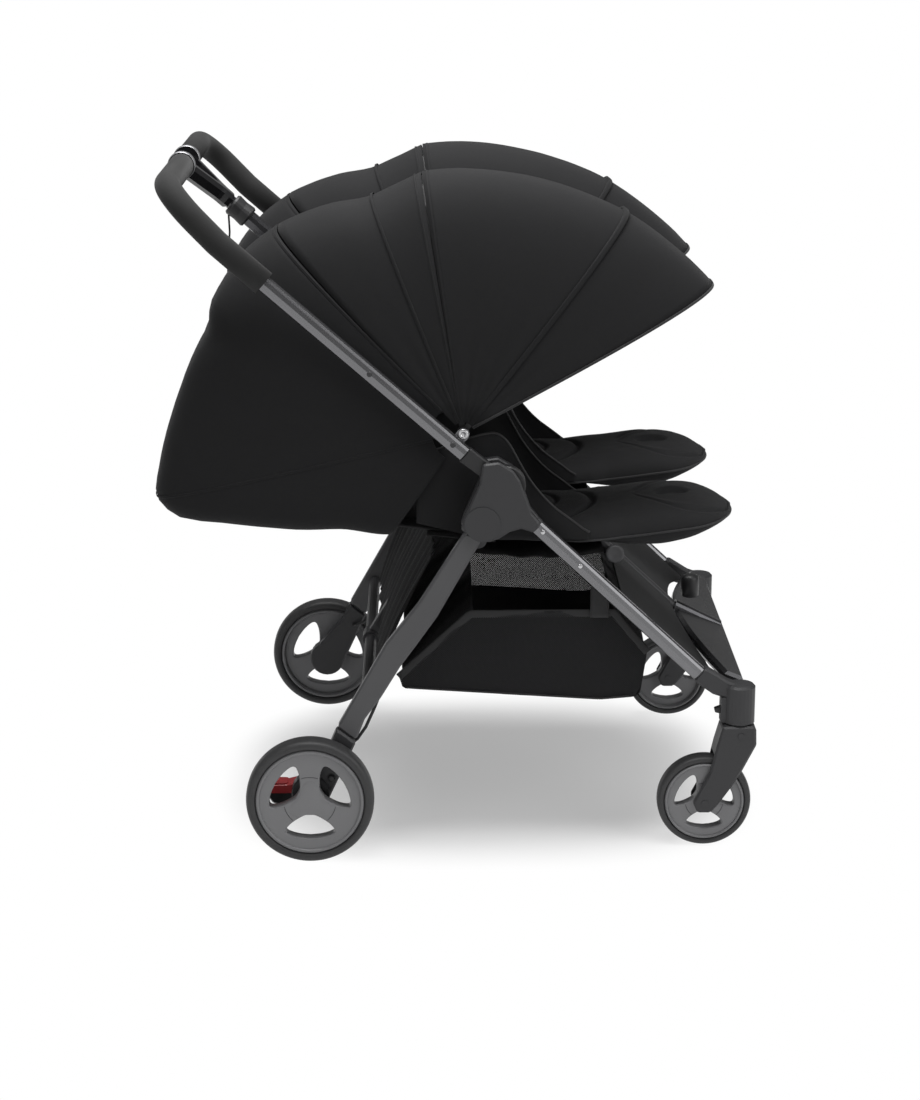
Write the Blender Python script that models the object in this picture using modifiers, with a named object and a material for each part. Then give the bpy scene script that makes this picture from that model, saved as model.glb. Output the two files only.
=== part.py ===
"""Side-by-side double stroller with a folding tube frame.

Metres, +X forward, +Y to the stroller's left, +Z up. The origin is on the
floor, under the middle of the object. Outlines are (x, z) points seen from
the stroller's right side. Heights and lengths of the frame follow the joint
axes below: the fold axis, the rear leg axis, the seat axis and the hood axis.
"""
import bmesh
import bpy
from math import acos, atan2, cos, degrees, pi, radians, sin, tan
from mathutils import Matrix, Vector

OBJECT_NAME = "double_stroller"

# Clearances
GAP = 0.0003
WELD = 0.000005
SEAM_GAP = 0.002
SIDE_PLAY = 0.001

# Joint axes, all of them across the stroller
FOLD_AXIS = Vector((0.070, 0.564))
REAR_LEG_AXIS = Vector((0.036, 0.509))
SEAT_AXIS = Vector((0.030, 0.478))
HOOD_AXIS = Vector((0.008, 0.637))
LEG_REST_AXIS = Vector((0.232, 0.451))
REAR_AXLE = Vector((-0.219, 0.095))
SWIVEL_X = 0.421
CASTER_TRAIL = 0.050

# Across the stroller: every layer of the side frame keeps its place beside the seats
CABIN_Y = 0.179
SEAT_HALF_WIDTH = 0.116
SEAT_SIDE_ROOM = 0.011
LAYER_STEP = 0.019
LAYER_INNER_Y = CABIN_Y + SEAT_HALF_WIDTH + SEAT_SIDE_ROOM
LAYER_OUTER_Y = LAYER_INNER_Y + LAYER_STEP

# Wheels
REAR_WHEEL_RADIUS = 0.095
REAR_TYRE_WIDTH = 0.036
REAR_WHEEL_Y = LAYER_INNER_Y + 0.056
FRONT_WHEEL_RADIUS = 0.0705
FRONT_TYRE_WIDTH = 0.030
FRONT_WHEEL_Y = LAYER_INNER_Y - 0.004
RIM_SHARE = 0.855
RIM_LIP = 0.004
RIM_DEPTH_SHARE = 0.12
SPOKE_THICKNESS = 0.014
OPENING_INNER_SHARE = 0.29
OPENING_OUTER_SHARE = 0.68
OPENING_HALF_ANGLE = radians(37)
OPENINGS = 3
HUB_RADIUS_SHARE = 0.20
REAR_AXLE_RADIUS = 0.005
FRONT_AXLE_RADIUS = 0.004
WHEEL_STEPS = 24

# Oval frame tubes
TUBE_WIDTH = 0.017
TUBE_WALL = 0.0015
FRONT_LEG_DEPTH = 0.023
PUSH_TUBE_DEPTH = 0.024
SPIGOT_LENGTH = 0.030
TUBE_EDGE = 0.002
OVAL_POINTS = 14
ARC_STEP = radians(42)
STRAIGHT_TURN = radians(14)
DISC_TURN = radians(3.7)
PIN_STEPS = 12
OVAL_POWER = 2.6

# Front legs
FRONT_LEG_TOP = Vector((0.116, 0.497))
FRONT_LEG_FOOT = Vector((0.359, 0.270))

# Hubs
HUB_COVER_IN = LAYER_OUTER_Y + 0.0105
HUB_COVER_OUT = HUB_COVER_IN + 0.008
HUB_DISC_RADIUS = 0.026
HUB_DISC_HEIGHT = 0.0015
HUB_OUTLINE = ((0.032, 0.570), (0.036, 0.598), (0.059, 0.601), (0.080, 0.588),
               (0.090, 0.573), (0.107, 0.525), (0.121, 0.508), (0.110, 0.496),
               (0.092, 0.502), (0.075, 0.497), (0.060, 0.487), (0.045, 0.482),
               (0.030, 0.485), (0.004, 0.501), (0.010, 0.519))
HUB_CORNER = 0.005
HUB_WEB = ((0.072, 0.520), (0.086, 0.534), (0.103, 0.524), (0.116, 0.508),
           (0.108, 0.4985), (0.090, 0.5055), (0.080, 0.5005))
PIN_RADIUS = 0.006
PIN_HEAD_RADIUS = 0.009
PIN_HEAD = 0.0025
PIN_REACH = 0.020
KNUCKLE_RADIUS = 0.029
REAR_KNUCKLE_RADIUS = 0.0265

# Cross tubes under the seats
CROSS_TUBE_RADIUS = 0.007
FRONT_CROSS_TUBE = Vector((0.150, 0.462))
CROSS_TUBE_SEAT = 0.012

# Centre spine, between the two seats
EAR_IN = 0.0115
EAR_OUT = 0.024
CENTRE_KNUCKLE_HALF = 0.011
CENTRE_KNUCKLE_RADIUS = 0.019
SPINE_WIDTH = 0.022
SPINE_DEPTH = 0.019
SPINE_FRONT = Vector((0.3465, 0.2825))

# Swivel housings and forks
HOUSING_RADIUS = 0.0235
HOUSING_BOTTOM = 0.192
HOUSING_TOP = 0.2535
HOUSING_DOME = 0.005
HOUSING_ARM_HALF = 0.0115
STEM_RADIUS = 0.008
STEM_TOP = 0.235
LOCK_GUIDE_BACK = 0.3925
LOCK_GUIDE_HALF = 0.011
LOCK_HALF = 0.0062
LOCK_TRAVEL = 0.006
LOCK_LOW = 0.2035
LOCK_HIGH = 0.2245
FORK_WIDTH = 0.047
FORK_SLOT = 0.035
FORK_CLEARANCE = 0.0065
FORK_OUTLINE = ((0.395, 0.1910), (0.445, 0.1915), (0.446, 0.162), (0.425, 0.120),
                (0.410, 0.095), (0.392, 0.069), (0.380, 0.055), (0.360, 0.055),
                (0.353, 0.071), (0.378, 0.120), (0.386, 0.158))
FORK_CORNER = 0.006
SCREW_HEAD_RADIUS = 0.0055
FORK_SCREW = Vector((0.423, 0.176))

# Front bar and foot panels
BAR_FRONT = Vector((0.432, 0.252))
BAR_REAR = Vector((0.352, 0.285))
BAR_END_DEPTH = 0.032
BAR_HALF_WIDTH = FRONT_WHEEL_Y - 0.024
BAR_THICKNESS = 0.016
BAR_EDGE = 0.005
PANEL_THICKNESS = 0.003
PANEL_TOP_X = 0.243
PANEL_LIFT = 0.005
PANEL_SETBACK = 0.011
PANEL_NOTCH_X = 0.345

# Handle
CROSSBAR = Vector((-0.413, 0.992))
HANDLE_TUBE_RADIUS = 0.0066
PUSH_TUBE_TOP = Vector((-0.275, 0.859))
PUSH_TUBE_FOOT = Vector((0.010, 0.610))
HANDLE_KINK = Vector((-0.340, 0.916))
HANDLE_BEND_RADIUS = 0.065
GRIP_RADIUS = 0.0185
GRIP_END_Y = 0.0505
YOKE_BAND_IN = 0.034
YOKE_BAND_OUT = 0.0500
YOKE_BAND_RADIUS = 0.0200
YOKE_LENGTH = 0.095
YOKE_HALF_THICKNESS = 0.0125
YOKE_STEM_HALF = 0.0145
YOKE_EDGE = 0.006
CENTRE_TUBE_RADIUS = 0.0125
SLEEVE_RADIUS = 0.0175
SLEEVE_LENGTH = 0.034

# Hood brackets and bows
BRACKET_IN = LAYER_INNER_Y + 0.0065
BRACKET_OUT = LAYER_INNER_Y + 0.0118
BRACKET_RADIUS = 0.009
HOOD_PIN_RADIUS = 0.004
HOOD_PIN_REACH = LAYER_INNER_Y - CABIN_Y - 0.0068
CLAMP_LENGTH = 0.018
CLAMP_WALL = 0.003
HOOD_ROD_RADIUS = 0.006
HOOD_ROD_REACH = 0.050
BOW_THICKNESS = 0.0025
BOW_WIDTH = 0.008
BOW_EYE_RADIUS = 0.009
BOW_INSET = 0.0035
FRONT_BOW_HALF = LAYER_INNER_Y - CABIN_Y - 0.0005
MID_BOW_HALF = LAYER_INNER_Y - CABIN_Y - 0.0035
BOW_POINTS = 12

# Hood and back shell, as arches fanned round the hood axis:
# (angle above straight ahead, reach, power of the arch)
HOOD_HALF_WIDTH = LAYER_INNER_Y - CABIN_Y + 0.003
FABRIC_THICKNESS = 0.002
FAN_INNER = 0.045
MID_BOW_ANGLE = 99.3
FRONT_BOW_ANGLE = 51.7
BACK_SEAM_ANGLE = 133.7
FRONT_FAN = ((28.0, 0.420, 2.8), (40.0, 0.402, 2.8), (51.7, 0.390, 2.8),
             (66.0, 0.376, 2.8), (82.0, 0.368, 2.8), (99.3, 0.365, 2.8))
REAR_FAN = ((99.3, 0.365, 2.8), (106.0, 0.357, 2.8), (112.0, 0.354, 2.9),
            (122.0, 0.371, 3.0), (133.7, 0.391, 3.2))
BACK_FAN = ((133.7, 0.391, 3.2), (144.0, 0.404, 3.8), (154.0, 0.408, 4.6),
            (159.5, 0.398, 5.2), (164.0, 0.405, 5.6), (176.0, 0.424, 6.0),
            (188.0, 0.453, 6.5), (193.0, 0.4659, 6.5), (197.0, 0.451, 6.5),
            (203.0, 0.376, 6.5), (210.0, 0.310, 6.5), (222.0, 0.235, 6.0),
            (236.0, 0.199, 6.0))
ARCH_POINTS = 12
FAN_WIDE_STEP = 13.0

# Seats, backrests and leg rests
SEAT_REAR = 0.060
SEAT_FRONT = 0.226
SEAT_TOP = 0.487
SEAT_CROWN = 0.004
EAR_THICKNESS = 0.0055
LEG_REST_EAR_RADIUS = 0.013
LEG_REST_PIN_RADIUS = 0.005
LEG_REST_BARREL = 0.010
LEG_REST_HALF_WIDTH = SEAT_HALF_WIDTH - 0.008
LEG_REST_TIP = 0.414
LEG_REST_BACK = 0.242
LEG_REST_BOTTOM = 0.4565
LEG_REST_TOP = 0.490
LEG_REST_PEAK = 0.506
BACKREST_HALF_WIDTH = SEAT_HALF_WIDTH - 0.011
BACKREST_LENGTH = 0.437
BACKREST_THICKNESS = 0.015
BACKREST_ANGLE = 173.0
BACKREST_CROWN = 0.005
BACKREST_ROOT = 0.024
BARREL_RADIUS = 0.0115

# Rear frame
REAR_LEG_OUTLINE = ((0.010, 0.494), (-0.058, 0.386), (-0.106, 0.325), (-0.179, 0.196),
                    (-0.151, 0.174), (-0.138, 0.208), (-0.114, 0.241), (-0.085, 0.289),
                    (-0.059, 0.325), (-0.030, 0.366), (0.036, 0.484))
REAR_CROSSBAR = Vector((-0.135, 0.235))
REAR_CROSSBAR_RADIUS = 0.009
STRUT_HALF_DEPTH = 0.010
DRUM_RADIUS = 0.029
DRUM_IN = LAYER_INNER_Y + 0.0105
DRUM_OUT = LAYER_INNER_Y + 0.0372
AXLE_REACH = REAR_WHEEL_Y + 0.008
PEDAL_IN = LAYER_INNER_Y - 0.018
PEDAL_OUT = LAYER_INNER_Y + 0.010
PEDAL_BOSS_RADIUS = 0.014
PEDAL_SHAFT_RADIUS = 0.006
PEDAL_OUTLINE = ((-0.225, 0.108), (-0.256, 0.1005), (-0.288, 0.100), (-0.291, 0.090),
                 (-0.277, 0.070), (-0.250, 0.066), (-0.222, 0.082))
CABLE_RADIUS = 0.0025
CABLE_Y = LAYER_INNER_Y + 0.001

# Basket
BASKET_HALF_WIDTH = LAYER_INNER_Y - 0.016
BASKET_WALL = 0.003
BASKET_OUTLINE = ((-0.088, 0.262), (0.019, 0.361), (0.232, 0.362), (0.284, 0.300),
                  (0.273, 0.226), (0.214, 0.221), (-0.082, 0.240))
BASKET_CORNER = 0.012

# Wrist strap
STRAP_CORD = ((-0.347, 0.9085), (-0.3462, 0.885), (-0.350, 0.835))
STRAP_CORD_RADIUS = 0.0015
STRAP_WIDTH = 0.016
STRAP_THICKNESS = 0.002
STRAP_END = Vector((-0.351, 0.784))


# Scene, collections and materials
for item in list(bpy.data.objects):
    bpy.data.objects.remove(item, do_unlink=True)

parts = bpy.data.collections.new(OBJECT_NAME)
bpy.context.scene.collection.children.link(parts)
bench = bpy.data.collections.new("cutters")
bpy.context.scene.collection.children.link(bench)


def material(name, colour, roughness, metallic=0.0):
    """A Principled material."""
    made = bpy.data.materials.new(name)
    made.use_nodes = True
    shader = made.node_tree.nodes["Principled BSDF"]
    shader.inputs["Base Color"].default_value = (*colour, 1.0)
    shader.inputs["Roughness"].default_value = roughness
    shader.inputs["Metallic"].default_value = metallic
    return made


gunmetal = material("gunmetal_tube", (0.075, 0.075, 0.08), 0.32, 0.8)
moulding = material("dark_moulding", (0.055, 0.055, 0.058), 0.55)
black_plastic = material("black_plastic", (0.018, 0.018, 0.02), 0.4)
gloss_black = material("gloss_black", (0.012, 0.012, 0.014), 0.12)
bar_grey = material("front_bar_grey", (0.13, 0.13, 0.135), 0.2)
panel_grey = material("foot_panel", (0.045, 0.045, 0.048), 0.7)
rim_grey = material("rim_grey", (0.1, 0.1, 0.105), 0.35)
tyre_rubber = material("tyre_rubber", (0.028, 0.028, 0.03), 0.8)
foam = material("grip_foam", (0.02, 0.02, 0.021), 0.9)
fabric = material("black_fabric", (0.018, 0.018, 0.02), 0.9)
padding = material("seat_padding", (0.022, 0.022, 0.025), 0.95)
pedal_red = material("pedal_red", (0.5, 0.02, 0.02), 0.4)


# Shapes
def link(name, mesh):
    made = bpy.data.objects.new(name, mesh)
    bench.objects.link(made)
    return made


def solid(holder, weld=True):
    """The mesh that a curve or an object with modifiers shows, in world space."""
    bpy.context.view_layer.update()
    shown = holder.evaluated_get(bpy.context.evaluated_depsgraph_get())
    mesh = bpy.data.meshes.new_from_object(shown)
    mesh.transform(holder.matrix_world)
    shape = bmesh.new()
    shape.from_mesh(mesh)
    if weld:
        bmesh.ops.remove_doubles(shape, verts=shape.verts, dist=WELD)
        bmesh.ops.recalc_face_normals(shape, faces=shape.faces)
    bmesh.ops.triangulate(shape, faces=[face for face in shape.faces if len(face.verts) > 4])
    shape.to_mesh(mesh)
    shape.free()
    made = link(holder.name, mesh)
    bpy.data.objects.remove(holder)
    return made


def boolean(base, tools, operation):
    """Join tools to the base, or cut them from it, one after another."""
    for tool in tools:
        step = base.modifiers.new(operation.lower(), "BOOLEAN")
        step.operation = operation
        step.solver = "EXACT"
        step.object = tool
        base = solid(base, weld=False)
        bpy.data.objects.remove(tool)
    return base


def fused(base, *tools):
    return boolean(base, tools, "UNION")


def cut(base, *tools):
    return boolean(base, tools, "DIFFERENCE")


def side_view(y):
    """A plane seen from the right side: local x is forward, local y is up."""
    return Matrix.Translation((0, y, 0)) @ Matrix.Rotation(pi / 2, 4, "X")


def plane(origin, along):
    """A plane through (x, z): local x runs along a side-view direction, local y across."""
    forward = Vector((along[0], 0, along[1])).normalized()
    across = Vector((0, 1, 0))
    turn = Matrix((forward, across, forward.cross(across))).transposed()
    return Matrix.Translation((origin[0], 0, origin[1])) @ turn.to_4x4()


def square_to(centre, along):
    """A plane square to a direction: local z runs along it, local y across."""
    ahead = Vector(along).normalized()
    across = Vector((0, 1, 0))
    turn = Matrix((across.cross(ahead), across, ahead)).transposed()
    return Matrix.Translation(centre) @ turn.to_4x4()


def across_at(point, y):
    """An axle's frame: local z runs to the stroller's left through (x, z)."""
    return Matrix.Translation((point[0], y, point[1])) @ Matrix.Rotation(-pi / 2, 4, "X")


def upright_at(x, y, z):
    return Matrix.Translation((x, y, z))


def at_y(point, y):
    return Vector((point[0], y, point[1]))


def slab(name, rings, thickness, frame, edge=0.0):
    """A flat outline with holes, thickened about its plane, with rounded edges."""
    curve = bpy.data.curves.new(name, "CURVE")
    curve.dimensions = "2D"
    curve.fill_mode = "BOTH"
    curve.extrude = thickness / 2 - edge
    curve.bevel_depth = edge
    curve.bevel_resolution = 0
    curve.offset = -edge
    for ring in rings:
        line = curve.splines.new("POLY")
        line.points.add(len(ring) - 1)
        line.use_cyclic_u = True
        for spot, corner in zip(line.points, ring):
            spot.co = (corner[0], corner[1], 0, 1)
    holder = link(name, curve)
    holder.matrix_world = frame
    return solid(holder)


def plate(name, ring, side, inner, outer, edge=0.0, holes=()):
    """A side-view outline between two distances from the middle, on one side."""
    frame = side_view(side * (inner + outer) / 2)
    return slab(name, (ring, *holes), outer - inner, frame, edge)


def turned(name, profile, frame, steps=WHEEL_STEPS, closed=False):
    """A (radius, height) profile turned about the frame's local z."""
    mesh = bpy.data.meshes.new(name)
    spots = [(radius, 0, height) for radius, height in profile]
    edges = [(index, index + 1) for index in range(len(spots) - 1)]
    if closed:
        edges.append((len(spots) - 1, 0))
    mesh.from_pydata(spots, edges, [])
    holder = link(name, mesh)
    holder.matrix_world = frame
    screw = holder.modifiers.new("turn", "SCREW")
    screw.axis = "Z"
    screw.angle = 2 * pi
    screw.steps = steps
    screw.render_steps = steps
    screw.use_merge_vertices = True
    screw.merge_threshold = WELD
    return solid(holder)


def disc(name, radius, frame, low, high, steps=12):
    """A plain cylinder between two heights on the frame's local z."""
    twisted = frame @ Matrix.Rotation(DISC_TURN, 4, "Z")
    return turned(name, ((0, high), (radius, high), (radius, low), (0, low)), twisted, steps)


def block(name, low, high):
    """A box between two corners."""
    shape = bmesh.new()
    bmesh.ops.create_cube(shape, size=1)
    size = [b - a for a, b in zip(low, high)]
    middle = [(a + b) / 2 for a, b in zip(low, high)]
    bmesh.ops.scale(shape, vec=size, verts=shape.verts)
    bmesh.ops.translate(shape, vec=middle, verts=shape.verts)
    mesh = bpy.data.meshes.new(name)
    shape.to_mesh(mesh)
    shape.free()
    return link(name, mesh)


def side_block(name, side, x, y, z):
    """A box on one side, with y given as two distances from the middle."""
    low_y, high_y = sorted((side * y[0], side * y[1]))
    return block(name, (x[0], low_y, z[0]), (x[1], high_y, z[1]))


def rod(name, start, end, radius, resolution=2):
    """A straight round bar."""
    return wire(name, (start, end), radius, resolution)


def wire(name, points, radius, resolution=2):
    """A round bar along a line of points."""
    curve = bpy.data.curves.new(name, "CURVE")
    curve.dimensions = "3D"
    curve.bevel_depth = radius
    curve.bevel_resolution = resolution
    curve.use_fill_caps = True
    line = curve.splines.new("POLY")
    line.points.add(len(points) - 1)
    for spot, point in zip(line.points, points):
        spot.co = (*point, 1)
    return solid(link(name, curve))


def rounded(points, radius, closed=True):
    """The same line with an arc at each corner; works in a plane and in space."""
    spots = [Vector(point) for point in points]
    made = []
    for index, corner in enumerate(spots):
        if not closed and index in (0, len(spots) - 1):
            made.append(corner)
            continue
        before = spots[index - 1]
        after = spots[(index + 1) % len(spots)]
        coming = (corner - before).normalized()
        going = (after - corner).normalized()
        turn = acos(max(-1, min(1, coming.dot(going))))
        room = 0.45 * min((corner - before).length, (after - corner).length)
        reach = min(radius * tan(turn / 2), room)
        if turn < STRAIGHT_TURN:
            made.append(corner)
            continue
        bend = reach / tan(turn / 2)
        steps = max(1, round(turn / ARC_STEP))
        start = corner - coming * reach
        middle = corner + (going - coming).normalized() * (bend / cos(turn / 2))
        for step in range(steps + 1):
            angle = turn * step / steps
            made.append(middle + (start - middle) * cos(angle) + coming * (bend * sin(angle)))
    return made


def power_curve(value, power):
    """A cosine or sine raised for a superellipse, with its sign kept."""
    return (abs(value) ** (2 / power)) * (1 if value >= 0 else -1)


def oval(depth, width, count=OVAL_POINTS, power=OVAL_POWER):
    """A tube's section: depth along local x, width along local y."""
    ring = []
    for k in range(count):
        angle = 2 * pi * (k + 0.5) / count
        ring.append((depth / 2 * power_curve(cos(angle), power),
                     width / 2 * power_curve(sin(angle), power)))
    return ring


def oval_bar(name, start, end, depth, width):
    """A straight solid bar of oval section."""
    middle = (start + end) / 2
    frame = square_to(middle, end - start)
    return slab(name, (oval(depth, width),), (end - start).length, frame)


def oval_tube(name, start, end, depth, width, wall=TUBE_WALL):
    """A straight open tube of oval section."""
    middle = (start + end) / 2
    frame = square_to(middle, end - start)
    rings = (oval(depth, width), oval(depth - 2 * wall, width - 2 * wall))
    return slab(name, rings, (end - start).length, frame)


def spigot_size(depth, width):
    """The section that slides into an oval tube."""
    return depth - 2 * TUBE_WALL - 2 * GAP, width - 2 * TUBE_WALL - 2 * GAP


def crossing(start, end):
    """Unit direction from one (x, z) point to another."""
    return (Vector(end) - Vector(start)).normalized()


pieces = {}


def node(name, made, look, axis=None, smooth=35):
    """Name a piece, give it its look, and put its origin on its joint axis."""
    made.name = name
    made.data.name = name
    bench.objects.unlink(made)
    parts.objects.link(made)
    made.data.materials.clear()
    made.data.materials.append(look)
    made.data.shade_smooth()
    made.data.set_sharp_from_angle(angle=radians(smooth))
    if axis is not None:
        made.data.transform(Matrix.Translation(-Vector(axis)))
        made.location = axis
    pieces[name] = made
    return made


def hand(side):
    return "right" if side < 0 else "left"


SIDES = (-1, 1)


# Wheels
def lens_opening(radius, turn, frame):
    """A cutter for one rounded opening between two spokes, centred on an angle."""
    inner = radius * OPENING_INNER_SHARE
    outer = radius * OPENING_OUTER_SHARE
    ring = []
    for k in range(4):
        angle = turn - OPENING_HALF_ANGLE + 2 * OPENING_HALF_ANGLE * k / 3
        ring.append((outer * cos(angle), outer * sin(angle)))
    ring.append((inner * cos(turn), inner * sin(turn)))
    return slab("opening", (rounded(ring, radius * 0.10),), 0.1, frame)


def rim(name, radius, width, axle_radius, centre, y, side, blind):
    """Barrel, three-spoke web and hub of a moulded wheel, bored for its axle."""
    frame = across_at(centre, y)
    if side < 0:
        frame = frame @ Matrix.Rotation(pi, 4, "X")
    seat = radius * RIM_SHARE
    barrel = seat - radius * RIM_DEPTH_SHARE
    half = width / 2 - RIM_LIP
    web = SPOKE_THICKNESS / 2
    hub = radius * HUB_RADIUS_SHARE
    reach = width / 2 - SIDE_PLAY
    bore = axle_radius + GAP
    profile = [(hub * 0.75, reach), (hub, reach - 0.002), (hub * 1.1, web), (barrel, web * 0.8),
               (barrel + RIM_LIP / 2, half), (seat, half - GAP), (seat, -half + GAP),
               (barrel + RIM_LIP / 2, -half), (barrel, -web * 0.8), (hub, -web), (hub, -reach),
               (bore, -reach)]
    if blind:
        depth = AXLE_REACH + GAP - REAR_WHEEL_Y
        profile = [(0, reach), *profile, (bore, depth), (0, depth)]
    else:
        profile = [(bore, reach), *profile]
    made = turned(name, profile, frame, WHEEL_STEPS, not blind)
    for k in range(OPENINGS):
        turn = pi / 2 + side * pi / OPENINGS + 2 * pi * k / OPENINGS
        made = cut(made, lens_opening(radius, turn, side_view(y) @ Matrix.Translation(
            (centre.x, centre.y, 0))))
    return made


def tyre(name, radius, width, centre, y):
    """A tyre with a rounded tread, seated on the rim."""
    seat = radius * RIM_SHARE + GAP
    half = width / 2
    side_wall = (radius - seat) * 0.45
    profile = ((radius, half * 0.40), (radius, -half * 0.40), (radius - 0.0025, -half * 0.82),
               (seat + side_wall, -half), (seat, -half + RIM_LIP),
               (seat, half - RIM_LIP), (seat + side_wall, half), (radius - 0.0025, half * 0.82))
    return turned(name, profile, across_at(centre, y), closed=True)


FRONT_AXLE = Vector((SWIVEL_X - CASTER_TRAIL, FRONT_WHEEL_RADIUS))


def wheels(side):
    rear_y = side * REAR_WHEEL_Y
    front_y = side * FRONT_WHEEL_Y
    rear_spot = at_y(REAR_AXLE, rear_y)
    front_spot = at_y(FRONT_AXLE, front_y)
    name = hand(side)
    node(f"rear_rim_{name}", rim("rim", REAR_WHEEL_RADIUS, REAR_TYRE_WIDTH, REAR_AXLE_RADIUS,
                                 REAR_AXLE, rear_y, side, True), rim_grey, rear_spot)
    node(f"rear_tyre_{name}", tyre("tyre", REAR_WHEEL_RADIUS, REAR_TYRE_WIDTH,
                                   REAR_AXLE, rear_y), tyre_rubber, rear_spot)
    node(f"front_rim_{name}", rim("rim", FRONT_WHEEL_RADIUS, FORK_SLOT, FRONT_AXLE_RADIUS,
                                  FRONT_AXLE, front_y, side, False), rim_grey, front_spot)
    node(f"front_tyre_{name}", tyre("tyre", FRONT_WHEEL_RADIUS, FRONT_TYRE_WIDTH,
                                    FRONT_AXLE, front_y), tyre_rubber, front_spot)


# Casters
def fork(side):
    """Fork with its stem, wheel slot, axle and screw heads."""
    y = side * FRONT_WHEEL_Y
    outline = rounded(FORK_OUTLINE, FORK_CORNER)
    body = slab("fork", (outline,), FORK_WIDTH, side_view(y), 0.003)
    slot = disc("slot", FRONT_WHEEL_RADIUS + FORK_CLEARANCE, across_at(FRONT_AXLE, y),
                -FORK_SLOT / 2, FORK_SLOT / 2, WHEEL_STEPS)
    stem = disc("stem", STEM_RADIUS, upright_at(SWIVEL_X, y, 0), HOUSING_BOTTOM - 0.010,
                STEM_TOP, PIN_STEPS)
    axle = disc("axle", FRONT_AXLE_RADIUS, across_at(FRONT_AXLE, y),
                -FORK_WIDTH / 2 + 0.001, FORK_WIDTH / 2 - 0.001)
    heads = [disc("screw", SCREW_HEAD_RADIUS, across_at(spot, y),
                  -FORK_WIDTH / 2 - 0.001, FORK_WIDTH / 2 + 0.001, 8)
             for spot in (FORK_SCREW, FRONT_AXLE)]
    made = cut(body, slot)
    made = fused(made, stem, axle)
    heads = [cut(head, disc("room", SCREW_HEAD_RADIUS * 2, across_at(spot, y),
                            -FORK_SLOT / 2 - 0.001, FORK_SLOT / 2 + 0.001, 8))
             for head, spot in zip(heads, (FORK_SCREW, FRONT_AXLE))]
    made = fused(made, *heads)
    node(f"fork_{hand(side)}", made, moulding, (SWIVEL_X, y, HOUSING_BOTTOM))


def swivel_housing(side):
    """Round housing for the fork's stem, with an arm into the front leg tube."""
    y = side * FRONT_WHEEL_Y
    shoulder = HOUSING_TOP - HOUSING_DOME
    body = turned("housing", ((0, HOUSING_TOP + 0.001), (HOUSING_RADIUS * 0.55, HOUSING_TOP),
                              (HOUSING_RADIUS * 0.86, HOUSING_TOP - 0.0015),
                              (HOUSING_RADIUS, shoulder),
                              (HOUSING_RADIUS, HOUSING_BOTTOM + 0.0015),
                              (HOUSING_RADIUS - 0.0015, HOUSING_BOTTOM), (0, HOUSING_BOTTOM)),
                  upright_at(SWIVEL_X, y, 0), 24)
    along = crossing(FRONT_LEG_TOP, FRONT_LEG_FOOT)
    square = Vector((-along.y, along.x))
    half = FRONT_LEG_DEPTH / 2 + 0.002
    collar_top = FRONT_LEG_FOOT + square * half
    collar_low = FRONT_LEG_FOOT - square * half
    arm = slab("arm", (rounded((collar_low, (0.380, 0.2385), (0.400, 0.2320), (SWIVEL_X, 0.2320),
                                (SWIVEL_X, HOUSING_TOP - 0.002), (0.402, 0.2585), collar_top),
                               0.006),),
               2 * HOUSING_ARM_HALF, side_view(y), 0.003)
    depth, width = spigot_size(FRONT_LEG_DEPTH, TUBE_WIDTH)
    leg_y = side * LAYER_INNER_Y
    spigot = oval_bar("spigot", at_y(FRONT_LEG_FOOT - along * SPIGOT_LENGTH, leg_y),
                      at_y(FRONT_LEG_FOOT + along * 0.008, leg_y), depth, width)
    guide = block("guide", (LOCK_GUIDE_BACK, y - LOCK_GUIDE_HALF, HOUSING_BOTTOM + 0.002),
                  (SWIVEL_X - HOUSING_RADIUS / 2, y + LOCK_GUIDE_HALF, 0.2335))
    channel = block("channel", (LOCK_GUIDE_BACK - 0.005, y - LOCK_HALF - GAP, LOCK_LOW - LOCK_TRAVEL
                                - GAP), (LOCK_GUIDE_BACK + 0.0055, y + LOCK_HALF + GAP,
                                         LOCK_HIGH + GAP))
    bore = disc("bore", STEM_RADIUS + GAP, upright_at(SWIVEL_X, y, 0),
                HOUSING_BOTTOM - 0.010, STEM_TOP + 0.002, 14)
    made = cut(fused(body, arm, spigot, guide), channel, bore)
    node(f"swivel_housing_{hand(side)}", made, moulding)


def swivel_lock(side):
    """Sliding lever that locks the caster straight ahead."""
    y = side * FRONT_WHEEL_Y
    tongue = block("lock", (LOCK_GUIDE_BACK + 0.0005, y - LOCK_HALF, LOCK_LOW),
                   (LOCK_GUIDE_BACK + 0.0052, y + LOCK_HALF, LOCK_HIGH))
    tab = slab("tab", (rounded(((LOCK_GUIDE_BACK + 0.002, LOCK_LOW + 0.003),
                                (LOCK_GUIDE_BACK - 0.008, LOCK_LOW + 0.005),
                                (LOCK_GUIDE_BACK - 0.009, LOCK_LOW + 0.010),
                                (LOCK_GUIDE_BACK + 0.002, LOCK_LOW + 0.014)), 0.002),),
               2 * LOCK_HALF - 0.001, side_view(y))
    node(f"swivel_lock_{hand(side)}", fused(tongue, tab), black_plastic,
         (LOCK_GUIDE_BACK, y, LOCK_LOW))


# Chassis
def front_leg(side):
    y = side * LAYER_INNER_Y
    along = crossing(FRONT_LEG_TOP, FRONT_LEG_FOOT)
    made = oval_tube("leg", at_y(FRONT_LEG_TOP + along * GAP, y),
                     at_y(FRONT_LEG_FOOT - along * GAP, y), FRONT_LEG_DEPTH, TUBE_WIDTH)
    node(f"front_leg_{hand(side)}", made, gunmetal)


def leg_arm_ring(foot, depth, reach):
    """A bar in the leg's line, from near the hub's middle to the leg tube."""
    along = crossing(FRONT_LEG_TOP, FRONT_LEG_FOOT)
    square = Vector((-along.y, along.x)) * (depth / 2)
    start = foot - along * reach
    return [foot - square, foot + square, start + square, start - square]


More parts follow.
